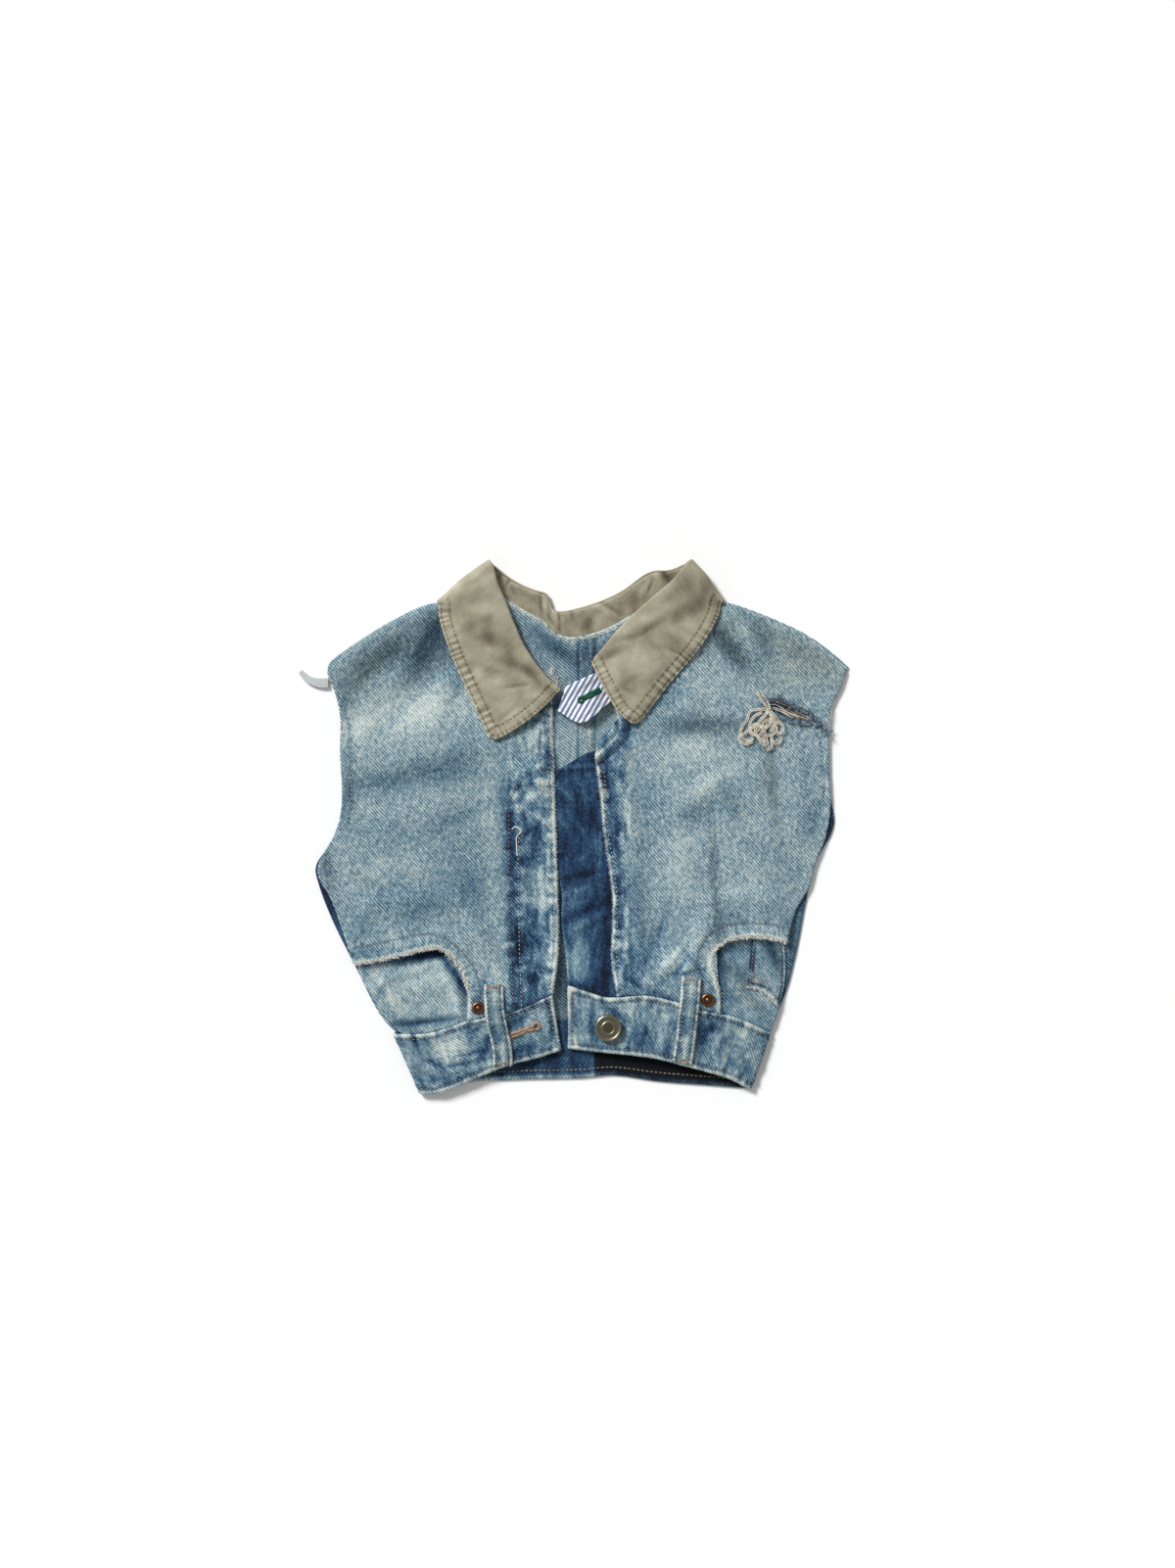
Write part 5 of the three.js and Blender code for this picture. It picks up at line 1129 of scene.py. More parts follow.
WASHED_DENIM = twill_cloth("washed_denim", INDIGO, twill=0.3, grain=0.54, blotch=0.4, cloud=0.14)
RISE_STRIP = outline("-29.4 82, -21.8 82, -21.4 24.5, -28.8 24.5")
LEFT_ROWS = {
    "armhole": outline("-165 88, -158 74, -155.6 58, -156 36, -155 14, -158 2"),
    "scoop": outline("""
        -154 -81, -140 -78.6, -120 -74, -104 -71.6, -92 -74, -80 -84, -71 -98, -68.6 -112, -68.6 -122"""),
    "rise_outer": outline("-29 82, -28.8 60, -28.6 26"),
    "rise_inner": outline("-22.8 82, -22.6 60, -22.2 26"),
    "fly_outer": outline("""
        -23 40, -36 36.3, -42.9 29.7, -48.2 19.8, -49.5 9.9, -49.5 -36.3, -48.8 -69.3, -47.5 -102,
        -46.2 -120"""),
    "fly_inner": outline("-28.4 31.7, -36.3 27.7, -41.6 19.8, -42.9 13.2"),
    "fly_low": outline("-42.5 -4, -43.6 -14, -43.2 -40, -42.6 -80, -40.9 -122"),
    "centre": outline("-22 22, -21 0, -19.6 -40, -19 -72, -19.8 -88, -23 -110"),
}
RIGHT_ROWS = {
    "fly_left": outline("9.8 51, 10.6 44, 12.4 34, 14 23"),
    "fly_right": outline("12 50, 12.8 44, 14.8 34, 16.4 23"),
    "fly_low": outline("15.2 21, 16 8, 17.6 -6, 20.6 -24, 23 -42, 23.4 -62, 22.8 -88, 25.6 -110"),
    "scoop": outline("82.6 -121, 82 -108, 78 -98, 77.6 -84, 84 -72, 96 -66, 110 -64.4, 126 -65, 138 -68"),
    "armhole": outline("158.4 64, 161 50, 162 30, 161.4 16"),
}


def strength(rows):
    """Each row with its pucker and ribs: the armhole lies flat and the scoop's hem is ribbed."""
    known = {"armhole": (0.1, 0.0), "scoop": (0.12, 7.5)}
    return [(line, *known.get(key, (0.42, 0.0))) for key, line in rows.items()]


front_face = {}
front_face["left"] = make_front("left",
    Side(SCOOP_LEFT, band_stretch("left", -77, -21)), Side(FRONT_SHOULDER_LEFT, FRONT_NECK_LEFT),
    Side(FRONT_SIDE_LEFT), Side(FRONT_EDGE_LEFT), strength(LEFT_ROWS),
    [Side(FRONT_EDGE_LEFT).spaced(), Side(SCOOP_LEFT).spaced()], RISE_STRIP)
rip_line = finer(np.vstack([RIP, RIP[:1]]), 1.5)
rip_end = finer(outline("158 71, 162 67, 166 62.5"))


def whole_cloth(x, y):
    """Where the right front's cloth still stands round the rip's ragged edge."""
    return outside(RIP, x, y) > 0.4 + 0.35 * wander(x, y, 1.2, 65)


front_face["right"] = make_front("right",
    Side(band_stretch("right", 23.8, 91.4), SCOOP_RIGHT), Side(FRONT_NECK_RIGHT, FRONT_SHOULDER_RIGHT),
    Side(FRONT_EDGE_RIGHT, FRONT_FLAP_RIGHT), Side(FRONT_SIDE_RIGHT), strength(RIGHT_ROWS),
    [*(Side(edge).spaced() for edge in (FRONT_EDGE_RIGHT, FRONT_FLAP_RIGHT, SCOOP_RIGHT)), rip_line],
    keep=whole_cloth)


def laid_on(face, lines, above=0.0):
    """Lines in plan, laid on the face of a cloth."""
    return [settle(face, finer(line, 1.0), above) for line in lines]


left_face, right_face = front_face["left"], front_face["right"]
for name, face, rows, keys, thread, pitch, size, seed in (
        ("front_left_topstitch", left_face, LEFT_ROWS, "scoop rise_outer rise_inner fly_outer fly_inner",
         ORANGE, 2.9, (1.8, 0.65, 0.45), 11),
        ("front_left_pale_topstitch", left_face, LEFT_ROWS, "armhole fly_low centre",
         CREAM, 2.9, (1.9, 0.65, 0.45), 12),
        ("front_right_topstitch", right_face, RIGHT_ROWS, "scoop fly_left fly_right",
         ORANGE, 2.8, (2.1, 0.7, 0.45), 13),
        ("front_right_pale_topstitch", right_face, RIGHT_ROWS, "fly_low armhole",
         CREAM, 2.9, (1.9, 0.65, 0.45), 14)):
    lines = laid_on(face, [rows[key] for key in keys.split()])
    topstitch(name, lines, thread, "washed_denim", pitch, size, seed)
LEFT_TACKS = outline("-28.8 31.7, -28.6 24.9, -22.2 25.4, -22.4 32.2")
RIGHT_TACK = outline("9.6 24.6, 16.4 24.2")
fly_tacks = laid_on(left_face, [LEFT_TACKS]) + laid_on(right_face, [RIGHT_TACK])
topstitch("fly_tacks", [finer(row) for row in fly_tacks], ORANGE, "washed_denim", pitch=1.1,
          size=(1.3, 0.6, 0.5), seed=15)


def raw_edges(face, *lines, above=-0.3):
    return [settle(face, Side(line).spaced(1), above) for line in lines]


PALE_WEFT = yarn_finish("pale_weft", (226, 233, 231), 0.14)
CREAM_FLUFF = yarn_finish("cream_weft", (254, 251, 240), 0.06)
fray("front_left_fluff", raw_edges(left_face, FRONT_EDGE_LEFT, SCOOP_LEFT), PALE_WEFT, "washed_denim",
     length=1.5, gap=0.2, seed=16)
scoop_edges = (raw_edges(left_face, SCOOP_LEFT[:7], above=0.3)
               + raw_edges(right_face, SCOOP_RIGHT[1:], above=0.3))
fray("front_scoop_fray", scoop_edges, CREAM_FLUFF, "washed_denim", length=2.4, gap=0.15, width=0.17,
     scatter=1.1, seed=17)
right_edges = raw_edges(right_face, FRONT_EDGE_RIGHT[::-1], FRONT_FLAP_RIGHT[::-1], SCOOP_RIGHT,
                        FRONT_SIDE_RIGHT[7:9])
fray("front_right_fluff", right_edges, PALE_WEFT, "washed_denim", length=1.5, gap=0.2, seed=18)
BLUE_FUZZ = yarn_finish("torn_warp", (120, 160, 184), 0.5)
torn_edges = laid_on(right_face, [rip_line[::-1], rip_line[::-1], rip_end, rip_end[::-1]])
fray("front_rip_fringe", torn_edges, BLUE_FUZZ, "washed_denim", length=3.4, gap=0.16, width=0.24,
     scatter=1.4, seed=19)

# Belt loops. Strips of the same denim, folded to a ridge down the middle, stitched along both
# edges and caught to the waistband with bar tacks at their ends.
BELT_LOOP_WIDTH = 12.0
BELT_LOOP_LIFT = 1.4
LOOP_CLOTH = 1.6
BELT_LOOP_LEFT = outline("-59.4 -105.6, -59.2 -122, -56.8 -135.3, -54.1 -148.5, -53.2 -159.6")
BELT_LOOP_RIGHT = outline("73.3 -100.3, 70.4 -128, 66.9 -157.6")
COMPASS = [(0.0, 0.0), *((math.cos(k * math.pi / 4), math.sin(k * math.pi / 4)) for k in range(8))]


def top_face(half, x, y):
    """The upper face of the vest at a point, of the front or of the band over it."""
    on_band = y < band_top[half](x) + 1
    return np.where(on_band, band_height[half](x) + BAND_CLOTH / 2, front_height(half, x, y) + DENIM / 2)


def highest(half, x, y, reach):
    return peak(top_face, half, x, y, reach, COMPASS)


def left_of(line):
    """Unit vectors in plan that point to a line's left, at its points."""
    ahead = np.gradient(line, axis=0)
    ahead /= np.linalg.norm(ahead, axis=1, keepdims=True)
    return np.column_stack([-ahead[:, 1], ahead[:, 0]])


def ribbon(line, widths, heights):
    """A strip's middle points: rows along a line in plan, one column for each share of its width."""
    points = line[:, None] + left_of(line)[:, None] * widths[..., None]
    return np.dstack([points, np.broadcast_to(heights, points.shape[:2])])


def make_belt_loop(half, rows):
    t = np.linspace(0, 1, 76)
    line = Side(rows)(t)
    offs = np.linspace(-BELT_LOOP_WIDTH / 2, BELT_LOOP_WIDTH / 2, 21)[None]
    rise = highest(half, line[:, 0], line[:, 1], BELT_LOOP_WIDTH / 2) + SEAM + LOOP_CLOTH / 2
    level = rise + BELT_LOOP_LIFT * np.sin(np.pi * t)
    level = np.convolve(np.pad(level, 4, mode="edge"), np.ones(9) / 9, mode="valid")
    grid = ribbon(line, offs + 0.25 * wander(t * 20, t * 0, 2.2, 71)[:, None], level[:, None])
    along = t[:, None] * Side(rows).length
    from_edge = BELT_LOOP_WIDTH / 2 - np.abs(offs)
    ridge = bell(offs - 0.8, 1.1)
    groove = bell(from_edge - 1.9, 0.6)
    pucker = wander(along, offs * 0.3, 2.6, 72) * bell(from_edge, 3)
    outer, inner = walls(grid, LOOP_CLOTH, 0.45 * ridge - 0.3 * groove + 0.22 * pucker)
    fade = (0.7 + 0.08 * ridge - 0.36 * groove + 0.26 * bell(from_edge, 0.8) + 0.24 * pucker
            - 0.12 * bell(offs + 2.8, 1.2) + 0.16 * wander(along, offs * 0.5, 6, 73))
    weave = np.dstack(np.broadcast_arrays(offs, along, 0.0)) * MM
    loop = cloth(f"belt_loop_{half}_cloth", outer, inner, {
        "fade": fade, "mottle": 0.5, "grime": 0.34, "weave": weave})
    dress(loop, BAND_DENIM, "band_denim", [f"belt_loop_{half}"])
    stitched = [sampled(outer, np.arange(2.0, 74.0), column) for column in (3.2, 16.8)]
    topstitch(f"belt_loop_{half}_stitches", stitched, ORANGE, "band_denim", pitch=2.6,
              size=(1.8, 0.65, 0.4), seed=21)
    tack_rows = [sampled(outer, row, np.arange(3.0, 18.0)) for row in (2.0, 2.8, 72.0, 72.8)]
    topstitch(f"belt_loop_{half}_tacks", tack_rows, ORANGE, "band_denim", pitch=0.55,
              size=(0.6, 1.3, 0.5), seed=22)
    ends = [sampled(outer, 0.2, np.arange(0.0, 20.0)), sampled(outer, 74.8, np.arange(20.0, 0.0, -1.0))]
    fray(f"belt_loop_{half}_fluff", ends, EDGE_FLUFF, "band_denim", length=1.2, gap=0.25, seed=23)


make_belt_loop("left", BELT_LOOP_LEFT)
make_belt_loop("right", BELT_LOOP_RIGHT)

# Rivets. Pressed copper caps that pin the corners of the pockets, dished round a bright
# burnished centre and tarnished in the dish.
def metal(name, bright, dull, roughness, wear):
    """Old metal: bright where it is rubbed, dull and rougher in the hollows. Reads a rubbed mark."""
    material, tree, shader = paint(name, {"Metallic": 1.0})
    where = place(tree, "ShaderNodeTexCoord").outputs["Object"]
    patina = noise(tree, where, 700.0, 4.0)
    spread = maths(tree, "MULTIPLY_ADD", patina, wear, mark(tree, "rubbed"), clamp=True)
    colour = place(tree, "ShaderNodeMix", {"data_type": "RGBA"},
                   {"Factor": spread, 6: linear(*dull), 7: linear(*bright)})
    tree.links.new(colour.outputs[2], shader.inputs["Base Color"])
    gloss = maths(tree, "MULTIPLY_ADD", spread, -0.25, roughness + 0.2)
    tree.links.new(gloss, shader.inputs["Roughness"])
    bumps(tree, shader, patina, 0.25, 0.2)
    return material


def turned_piece(name, x, y, z, profile, sides=64):
    """A solid turned about the vertical through a point. The profile's rows are radius, height
    and how rubbed it is there, from the axis at the foot to the axis at the top."""
    radius, height, rubbed = profile.T
    turn = np.linspace(0, 2 * math.pi, sides, endpoint=False)
    ring = np.stack([np.cos(turn), np.sin(turn)], -1)
    inner = slice(1, len(profile) - 1)
    levels = np.broadcast_to(height[inner, None], (len(profile) - 2, sides))
    rings = np.dstack([ring[None] * radius[inner, None, None], levels])
    points = np.vstack([[0, 0, height[0]], rings.reshape(-1, 3), [0, 0, height[-1]]]) + [x, y, z]
    start = 1 + np.arange(len(profile) - 2) * sides
    after = (np.arange(sides) + 1) % sides
    faces = [(0, start[0] + after[k], start[0] + k) for k in range(sides)]
    for a, b in zip(start[:-1], start[1:]):
        faces += [(a + k, a + after[k], b + after[k], b + k) for k in range(sides)]
    faces += [(start[-1] + k, start[-1] + after[k], len(points) - 1) for k in range(sides)]
    mesh = bpy.data.meshes.new(name)
    mesh.from_pydata((points * MM).tolist(), [], [[int(v) for v in face] for face in faces])
    mesh.shade_smooth()
    values = np.concatenate([[rubbed[0]], np.repeat(rubbed[inner], sides), [rubbed[-1]]])
    mesh.attributes.new("rubbed", "FLOAT", "POINT").data.foreach_set("value", values.astype(np.float32))
    return new_object(name, mesh)


def profile_of(*rows):
    """A turned profile, rounded between its rows."""
    return smooth(np.array(rows, float), 5)


COPPER = metal("copper", (136, 98, 76), (66, 43, 33), 0.38, 0.25)
RIVET_HEIGHT = 1.5
for half, x, y, r in (("left", -70, -121, 4.3), ("right", 84, -115.5, 4.6)):
    name, h = f"rivet_{half}", RIVET_HEIGHT
    cap = profile_of([0, 0, 0], [r, 0, 0], [r, 0.35, 0.3], [0.93 * r, 0.75, 0.6],
                     [0.76 * r, h - 0.35, 0.5], [0.6 * r, h - 0.45, 0.0], [0.4 * r, h - 0.5, 0.0],
                     [0.28 * r, h - 0.3, 0.3], [0.16 * r, h, 1.4], [0, h + 0.1, 2.0])
    level = float(highest(half, np.array(x), np.array(y), r)) + SEAM
    rivet = turned_piece(f"{name}_cap", x, y, level, cap)
    dress(rivet, COPPER, "copper", [name])

# Shank button. An antiqued brass cap on a shank, with a raised rim, a ring of small pips in its
# groove and a raised middle. The shank stands through the waistband and is clinched behind it.
BUTTON = {"x": 17.2, "y": -134.0, "radius": 9.0, "shank": 3.2, "height": 4.6, "pips": 26, "pip_ring": 6.2}
r, h, s = BUTTON["radius"], BUTTON["height"], BUTTON["shank"]
cap = profile_of([0, 0, 0], [4.4, 0, 0], [4.3, 0.4, 0], [4.2, s - 1.1, 0], [4.4, s - 0.95, 0],
                 [r - 0.5, s - 0.8, 0], [r - 0.1, s - 0.55, 0.3], [r, s - 0.2, 0.5],
                 [r - 0.25, h - 0.45, 0.7], [r - 0.7, h - 0.1, 0.8], [r - 1.2, h, 0.7],
                 [r - 1.7, h - 0.2, 0.4], [r - 2.1, h - 0.35, 0.35], [5.2, h - 0.38, 0.35],
                 [4.7, h - 0.35, 0.3], [4.3, h - 0.15, 0.8], [4.0, h - 0.1, 0.9], [3.7, h - 0.2, 0.3],
                 [3.4, h - 0.3, 0.05], [2.0, h - 0.28, 0.0], [0, h - 0.26, 0.0])
button_level = float(highest("right", np.array(BUTTON["x"]), np.array(BUTTON["y"]), 5)) + SEAM
ANTIQUE_BRASS = metal("antique_brass", (156, 150, 130), (72, 68, 55), 0.34, 0.3)
button = turned_piece("brass_button", BUTTON["x"], BUTTON["y"], button_level, cap, 72)
dress(button, ANTIQUE_BRASS, "antique_brass", ["shank_button"])
pip_turn = np.linspace(0, 2 * math.pi, BUTTON["pips"] * 3 + 1)
pip_line = np.column_stack([BUTTON["x"] + BUTTON["pip_ring"] * np.cos(pip_turn),
                            BUTTON["y"] + BUTTON["pip_ring"] * np.sin(pip_turn),
                            np.full(len(pip_turn), button_level + h - 0.45)])
topstitch("button_pips", [pip_line], ANTIQUE_BRASS, "antique_brass", pitch=1.5, size=(0.7, 0.9, 0.5),
          seed=24)

# Collar fall. A shirt collar's outer leaf in crumpled khaki twill, two plies turned and stitched
# twice round the edge in brown thread. It lies on the fronts, folds over at the sides of the
# neck and runs on behind the back.
KHAKI = 1.2
LEAF_ON_FRONT, LEAF_EDGE, LEAF_PUFF, TAB_ROOM = 3.7, 1.9, 1.6, 2.4
LEAF_ACROSS, LEAF_ROWS, BACK_LEAF_ROWS = 50, 118, 60
FALL_BACK_MID = KHAKI / 2
STAND_BACK_MID = FALL_BACK_MID + KHAKI + SEAM
LEAF_LEFT_END = outline("-16 92, -26 81.5, -40 70, -52 62.5")
LEAF_LEFT_TIP = outline("-52 62.5, -58.5 59.8, -63 62")
LEAF_LEFT_ROLL = outline("-16 92, -27.5 103.6, -41 123.5, -52.8 151.8, -58 163.7, -61 176")
LEAF_LEFT_OUTER = outline("-63 62, -72.6 82.5, -87 114, -96 142, -96 150")
LEAF_RIGHT_END = outline("6.6 110.2, 13 97, 24 78, 31 71.6")
LEAF_RIGHT_TIP = outline("31 71.6, 35 70, 40 73.4")
LEAF_RIGHT_ROLL = outline("6.6 110.2, 27.7 135.3, 52.8 158.4, 62.7 167, 70.4 177")
LEAF_RIGHT_OUTER = outline("40 73.4, 56 94.4, 81 124.7, 91 143, 93 151")
NECK_FOLDS = {"left": (-0.63, 0.78), "right": (0.788, 0.616)}
# Creases on the leaves. Their fade column paints shade into the hollows and highlight onto the ridges; the
# row with no height only darkens a part.
COLLAR_CREASES = table("x y turn long wide high fade", """
    -63 128 145 19 6.5 -.5 -.2, -55 124 10 12 6 -.2 -.09, -47 110 161 14 4.5 -.6 -.24,
    -32 100 130 11 3.4 -.6 -.28, -46 94.4 9 9 1.6 -.9 -.08, -72 151.5 0 12 4 -.4 -.04,
    -74 139 25 11 4 .7 .05, -58 117 150 11 3 .9 .04, -40 100 150 9 2.4 .8 .04, -60 104 165 12 3 -.6 -.05,
    -62 88 150 10 3 -.6 -.05, -84 122 160 10 2.6 -.6 -.05, -50 76 40 8 2 -.6 -.05, -66 163 30 12 3 .5 .03,
    31 126.6 12 7 2.6 -1.2 -.18, 47 134 33 12 3.6 -1.6 -.2, 66 144 26 16 4.5 -.7 -.2,
    60 124 155 15 5.5 -.3 -.18, 51 119.6 135 8 2.4 -1.2 -.12, 61 118 154 6 1.5 -.8 -.1,
    35 100 37 8 3 -.8 -.08, 32 91 147 6 1.6 -.9 -.1, 20 115 30 9 3 -.7 -.08, 77 157 120 20 11 -.3 -.22,
    42 128 30 9 2.6 .8 .04, 58 132 150 9 2.4 .9 .04, 44 112 135 10 3 .8 .05, 60 160 40 14 3 .6 0,
    72 130 150 9 2 -.7 -.08, -72 136 150 14 8 0 -.07""")
STITCH_INSETS = (1.3, 7.0)


def inset(line, by):
    """A line moved to its left by a distance, with the loops cut off inside its corners."""
    line = finer(line, 1.0)
    moved = line + by * left_of(line)
    return moved[np.abs(beside(line, moved[:, 0], moved[:, 1])[1]) > by - 0.15]


def leaf(half, end, tip, roll, outer):
    """One leaf's middle points, in rows from its front end to the side of the neck."""
    low = Side(end, tip)
    top = Side([roll[-1], outer[-1]])
    us, vs = shares(LEAF_ACROSS, low), np.linspace(0, 1, LEAF_ROWS)
    grid = plan(low, top, Side(roll), Side(outer), us, vs)
    x, y = grid[..., 0], grid[..., 1]
    w, s = us[:, None], vs[None]
    over_tab = (1 - ease((s - 0.25) / 0.3)) * (1 - ease((w - 0.7) / 0.3))
    room = TAB_ROOM * over_tab if half == "right" else 0 * s
    over = LEAF_ON_FRONT + (LEAF_EDGE - LEAF_ON_FRONT) * w + LEAF_PUFF * np.sin(np.pi * w) + room
    return np.dstack([grid, peak(front_height, half, x, y, 3) + over]).transpose(1, 0, 2)


leaf_left = leaf("left", LEAF_LEFT_END, LEAF_LEFT_TIP, LEAF_LEFT_ROLL, LEAF_LEFT_OUTER)
leaf_right = leaf("right", LEAF_RIGHT_END, LEAF_RIGHT_TIP, LEAF_RIGHT_ROLL, LEAF_RIGHT_OUTER)
back_leaf = plan(Side(FALL_ROLL_BACK), Side(FALL_OUTER_BACK),
                 Side([LEAF_LEFT_ROLL[-1], LEAF_LEFT_OUTER[-1]]),
                 Side([LEAF_RIGHT_ROLL[-1], LEAF_RIGHT_OUTER[-1]]),
                 np.linspace(0, 1, BACK_LEAF_ROWS), np.linspace(0, 1, LEAF_ACROSS + 1))
back_leaf = np.dstack([back_leaf, np.full(back_leaf.shape[:2], FALL_BACK_MID)])
left_fold = round_fold(leaf_left[-1], back_leaf[0], NECK_FOLDS["left"], 8)
right_fold = round_fold(back_leaf[-1], leaf_right[-1], NECK_FOLDS["right"], 8)
fall = np.concatenate([leaf_left, left_fold, back_leaf, right_fold, leaf_right[::-1]])
leaf_count = len(leaf_left)
is_leaf = np.zeros(len(fall), bool)
is_leaf[:leaf_count] = is_leaf[-leaf_count:] = True
x, y = fall[..., 0], fall[..., 1]
leaf_edges = [np.vstack([Side(end, tip).line, Side(outer).line[1:]]) for end, tip, outer in (
    (LEAF_LEFT_END, LEAF_LEFT_TIP, LEAF_LEFT_OUTER), (LEAF_RIGHT_END, LEAF_RIGHT_TIP, LEAF_RIGHT_OUTER))]
leaf_edges[0] = leaf_edges[0][::-1]
fall_halves = slice(0, len(fall) // 2), slice(len(fall) // 2, None)
edge_along, edge_off = (np.concatenate(pair) for pair in zip(*(
    beside(finer(line, 3.0), x[rows], y[rows]) for line, rows in zip(leaf_edges, fall_halves))))
edge_off = np.where(is_leaf[:, None], np.abs(edge_off), 99.0)
hem = ease((9.5 - edge_off) / 3)
sunk = sum(bell(edge_off - by, 0.7) for by in STITCH_INSETS)
pull = wander(edge_along, edge_off * 0.1, 8, 81)
unevenness = 0.55 + 0.6 * wander(edge_along, edge_off, 5, 80)
pucker = np.sin(2 * math.pi * edge_along / 4.8 + 5 * pull) * unevenness * hem
crumple = np.where(is_leaf[:, None], spots(COLLAR_CREASES, "high", x, y) * ease(edge_off / 8), 0)
fine_crumple = 0.22 * wander(x, y, 9, 82) + 0.12 * wander(x, y, 4, 83)
fall[..., 2] += crumple + np.where(is_leaf[:, None], fine_crumple, 0)


def rolled_in(grid, depth, count=6):
    """A grid with columns added before its first: the cloth rolls over there and turns in."""
    normal = normals(grid)[:, 0]
    away = grid[:, 0] - grid[:, 1]
    away /= np.linalg.norm(away, axis=1, keepdims=True)
    turn = np.linspace(math.pi * 0.88, 0, count, endpoint=False)[None, :, None]
    roll = (grid[:, :1] - normal[:, None] * depth / 2 * (1 - np.cos(turn))
            + away[:, None] * depth / 2 * np.sin(turn))
    return np.concatenate([roll, grid], axis=1)


ROLL_ROWS = 6
fall = rolled_in(fall, 1.7, ROLL_ROWS)
leaf_fade_and_shade = spots(COLLAR_CREASES, "fade", x, y)
hem, sunk, pucker, edge_off, leaf_fade_and_shade = (np.pad(field, ((0, 0), (ROLL_ROWS, 0)), mode="edge")
                                          for field in (hem, sunk, pucker, edge_off, leaf_fade_and_shade))
fall_outer, fall_inner = walls(fall, KHAKI, 0.2 * hem - 0.3 * sunk + 0.5 * pucker)
x, y = fall[..., 0], fall[..., 1]
# Painted shade in the creases, in the sunk stitch rows and between the hem's puckers.
fall_fade_and_shade = (0.66 + leaf_fade_and_shade - 0.16 * sunk + 0.2 * pucker + 0.1 * bell(edge_off, 0.8)
             + 0.1 * wander(x, y, 7, 84))
KHAKI_STOPS = [(0.0, (58, 50, 40)), (0.35, (114, 106, 90)), (0.66, (166, 161, 139)),
               (1.0, (210, 205, 186))]
KHAKI_TWILL = twill_cloth("khaki_twill", KHAKI_STOPS, twill=0.06, grain=0.14, blotch=0.2, cloud=0.1,
                          bump=0.25, pitch=0.7)
rows, columns = np.indices(fall.shape[:2])
fall_piece = cloth("khaki_collar_fall", fall_outer, fall_inner, {
    "fade": fall_fade_and_shade, "mottle": 0.4, "grime": 0.05,
    "weave": np.stack([rows * 1.05, columns * 0.9, 0 * rows], -1) * MM})
dress(fall_piece, KHAKI_TWILL, "khaki_twill", ["collar_fall"])
BROWN = yarn_finish("topstitch_brown", (84, 68, 50), 0.2)
leaf_faces = [fall_outer[:leaf_count], fall_outer[-leaf_count:]]
collar_rows = [settle(face, inset(line, by), 0.05)
               for face, line in zip(leaf_faces, leaf_edges) for by in STITCH_INSETS]
topstitch("collar_fall_stitches", collar_rows, BROWN, "khaki_twill", pitch=3.0, size=(1.1, 0.8, 0.5),
          seed=25)

# Collar stand. The band that joins the fall to the neck, in the same khaki, seen on its inner
# side round the neck opening, with one row of stitches near the neck edge.
STAND_NECK_LEFT = outline("-23.6 84, -36 92, -47 104.6, -60 123, -68 139, -72.5 155.5")
STAND_ROLL_LEFT = outline("-18.4 92, -30 103.6, -43 123.5, -54.8 150.8, -60 162.7, -62 173.6")
STAND_NECK_RIGHT = outline("15 92, 20 101, 32 114, 43 125, 61 142, 67.5 154.6")
STAND_ROLL_RIGHT = outline("9 110.2, 29.7 134.3, 53 156, 63 165, 69.6 174.4")
STAND_ROWS, STAND_BACK_ROWS, STAND_COLUMNS = 96, 150, 25
# Creases on the stand, with painted shade in their hollows and painted highlight on their ridges. The last
# row, with no height, is a painted shadow on the stand's right end.
STAND_CREASES = table("x y turn long wide high fade", """
    -60 173 50 7 1.6 -1 -.24, -54.5 171 50 6 1.2 -.9 -.16, -49 166 55 6 1.2 -.9 -.16,
    -46.7 160 110 6 1.6 -.8 -.12, -37 155 150 9 4 -.4 -.1, -27.6 150 95 10 1.3 -1.3 -.2,
    -24.6 150 97 9 1.5 1.3 .14, -21 139.4 125 7 1.4 -1.2 -.2, -17 141 115 8 1.3 1.2 .12,
    -15.4 138 95 8 1.1 -1.3 -.24, -6.4 143 115 6 1.4 -1 -.18, 3.3 136 60 7 3 -.8 -.2,
    14 146.4 150 11 1.8 1.3 .1, 18.4 148 150 10 1.8 -1.3 -.2, 36 153 35 10 5 -.5 -.12,
    45.6 161.6 70 5 1.2 -.8 -.14, 42 160 60 8 2 .8 .06, 56 169.6 126 9 2.2 -1.4 -.3, 51 168 126 7 2 .9 .08,
    69 178 140 6 2 -.9 -.24, 58 168 50 11 6 0 -.2""")


def stand_strip(roll, neck, count):
    s, w = np.linspace(0, 1, count), np.linspace(0, 1, STAND_COLUMNS)[None, :, None]
    return Side(roll)(s)[:, None] * (1 - w) + Side(neck)(s)[:, None] * w


def stand_front(half, roll, neck):
    strip = stand_strip(roll, neck, STAND_ROWS)
    return np.dstack([strip, peak(front_height, half, strip[..., 0], strip[..., 1], 3) + LAYER + SEAM])


stand_left = stand_front("left", STAND_ROLL_LEFT, STAND_NECK_LEFT)
stand_right = stand_front("right", STAND_ROLL_RIGHT, STAND_NECK_RIGHT)[::-1]
stand_back = stand_strip(STAND_ROLL_BACK, STAND_NECK_BACK, STAND_BACK_ROWS)
x, y = stand_back[..., 0], stand_back[..., 1]
lift = spots(STAND_CREASES, "high", x, y) + 0.2 * wander(x, y, 5, 86)
stand_back = np.dstack([stand_back, STAND_BACK_MID + lift * np.linspace(1, 0.3, STAND_COLUMNS) + 0.6])
left_fold = round_fold(stand_left[-1], stand_back[0], NECK_FOLDS["left"], 6)
right_fold = round_fold(stand_back[-1], stand_right[0], NECK_FOLDS["right"], 6)
stand = np.concatenate([stand_left, left_fold, stand_back, right_fold, stand_right])
stand = stand[:, ::-1]
stand_inner, stand_outer = walls(stand, KHAKI)
x, y = stand[..., 0], stand[..., 1]
w = np.linspace(1, 0, STAND_COLUMNS)[None]
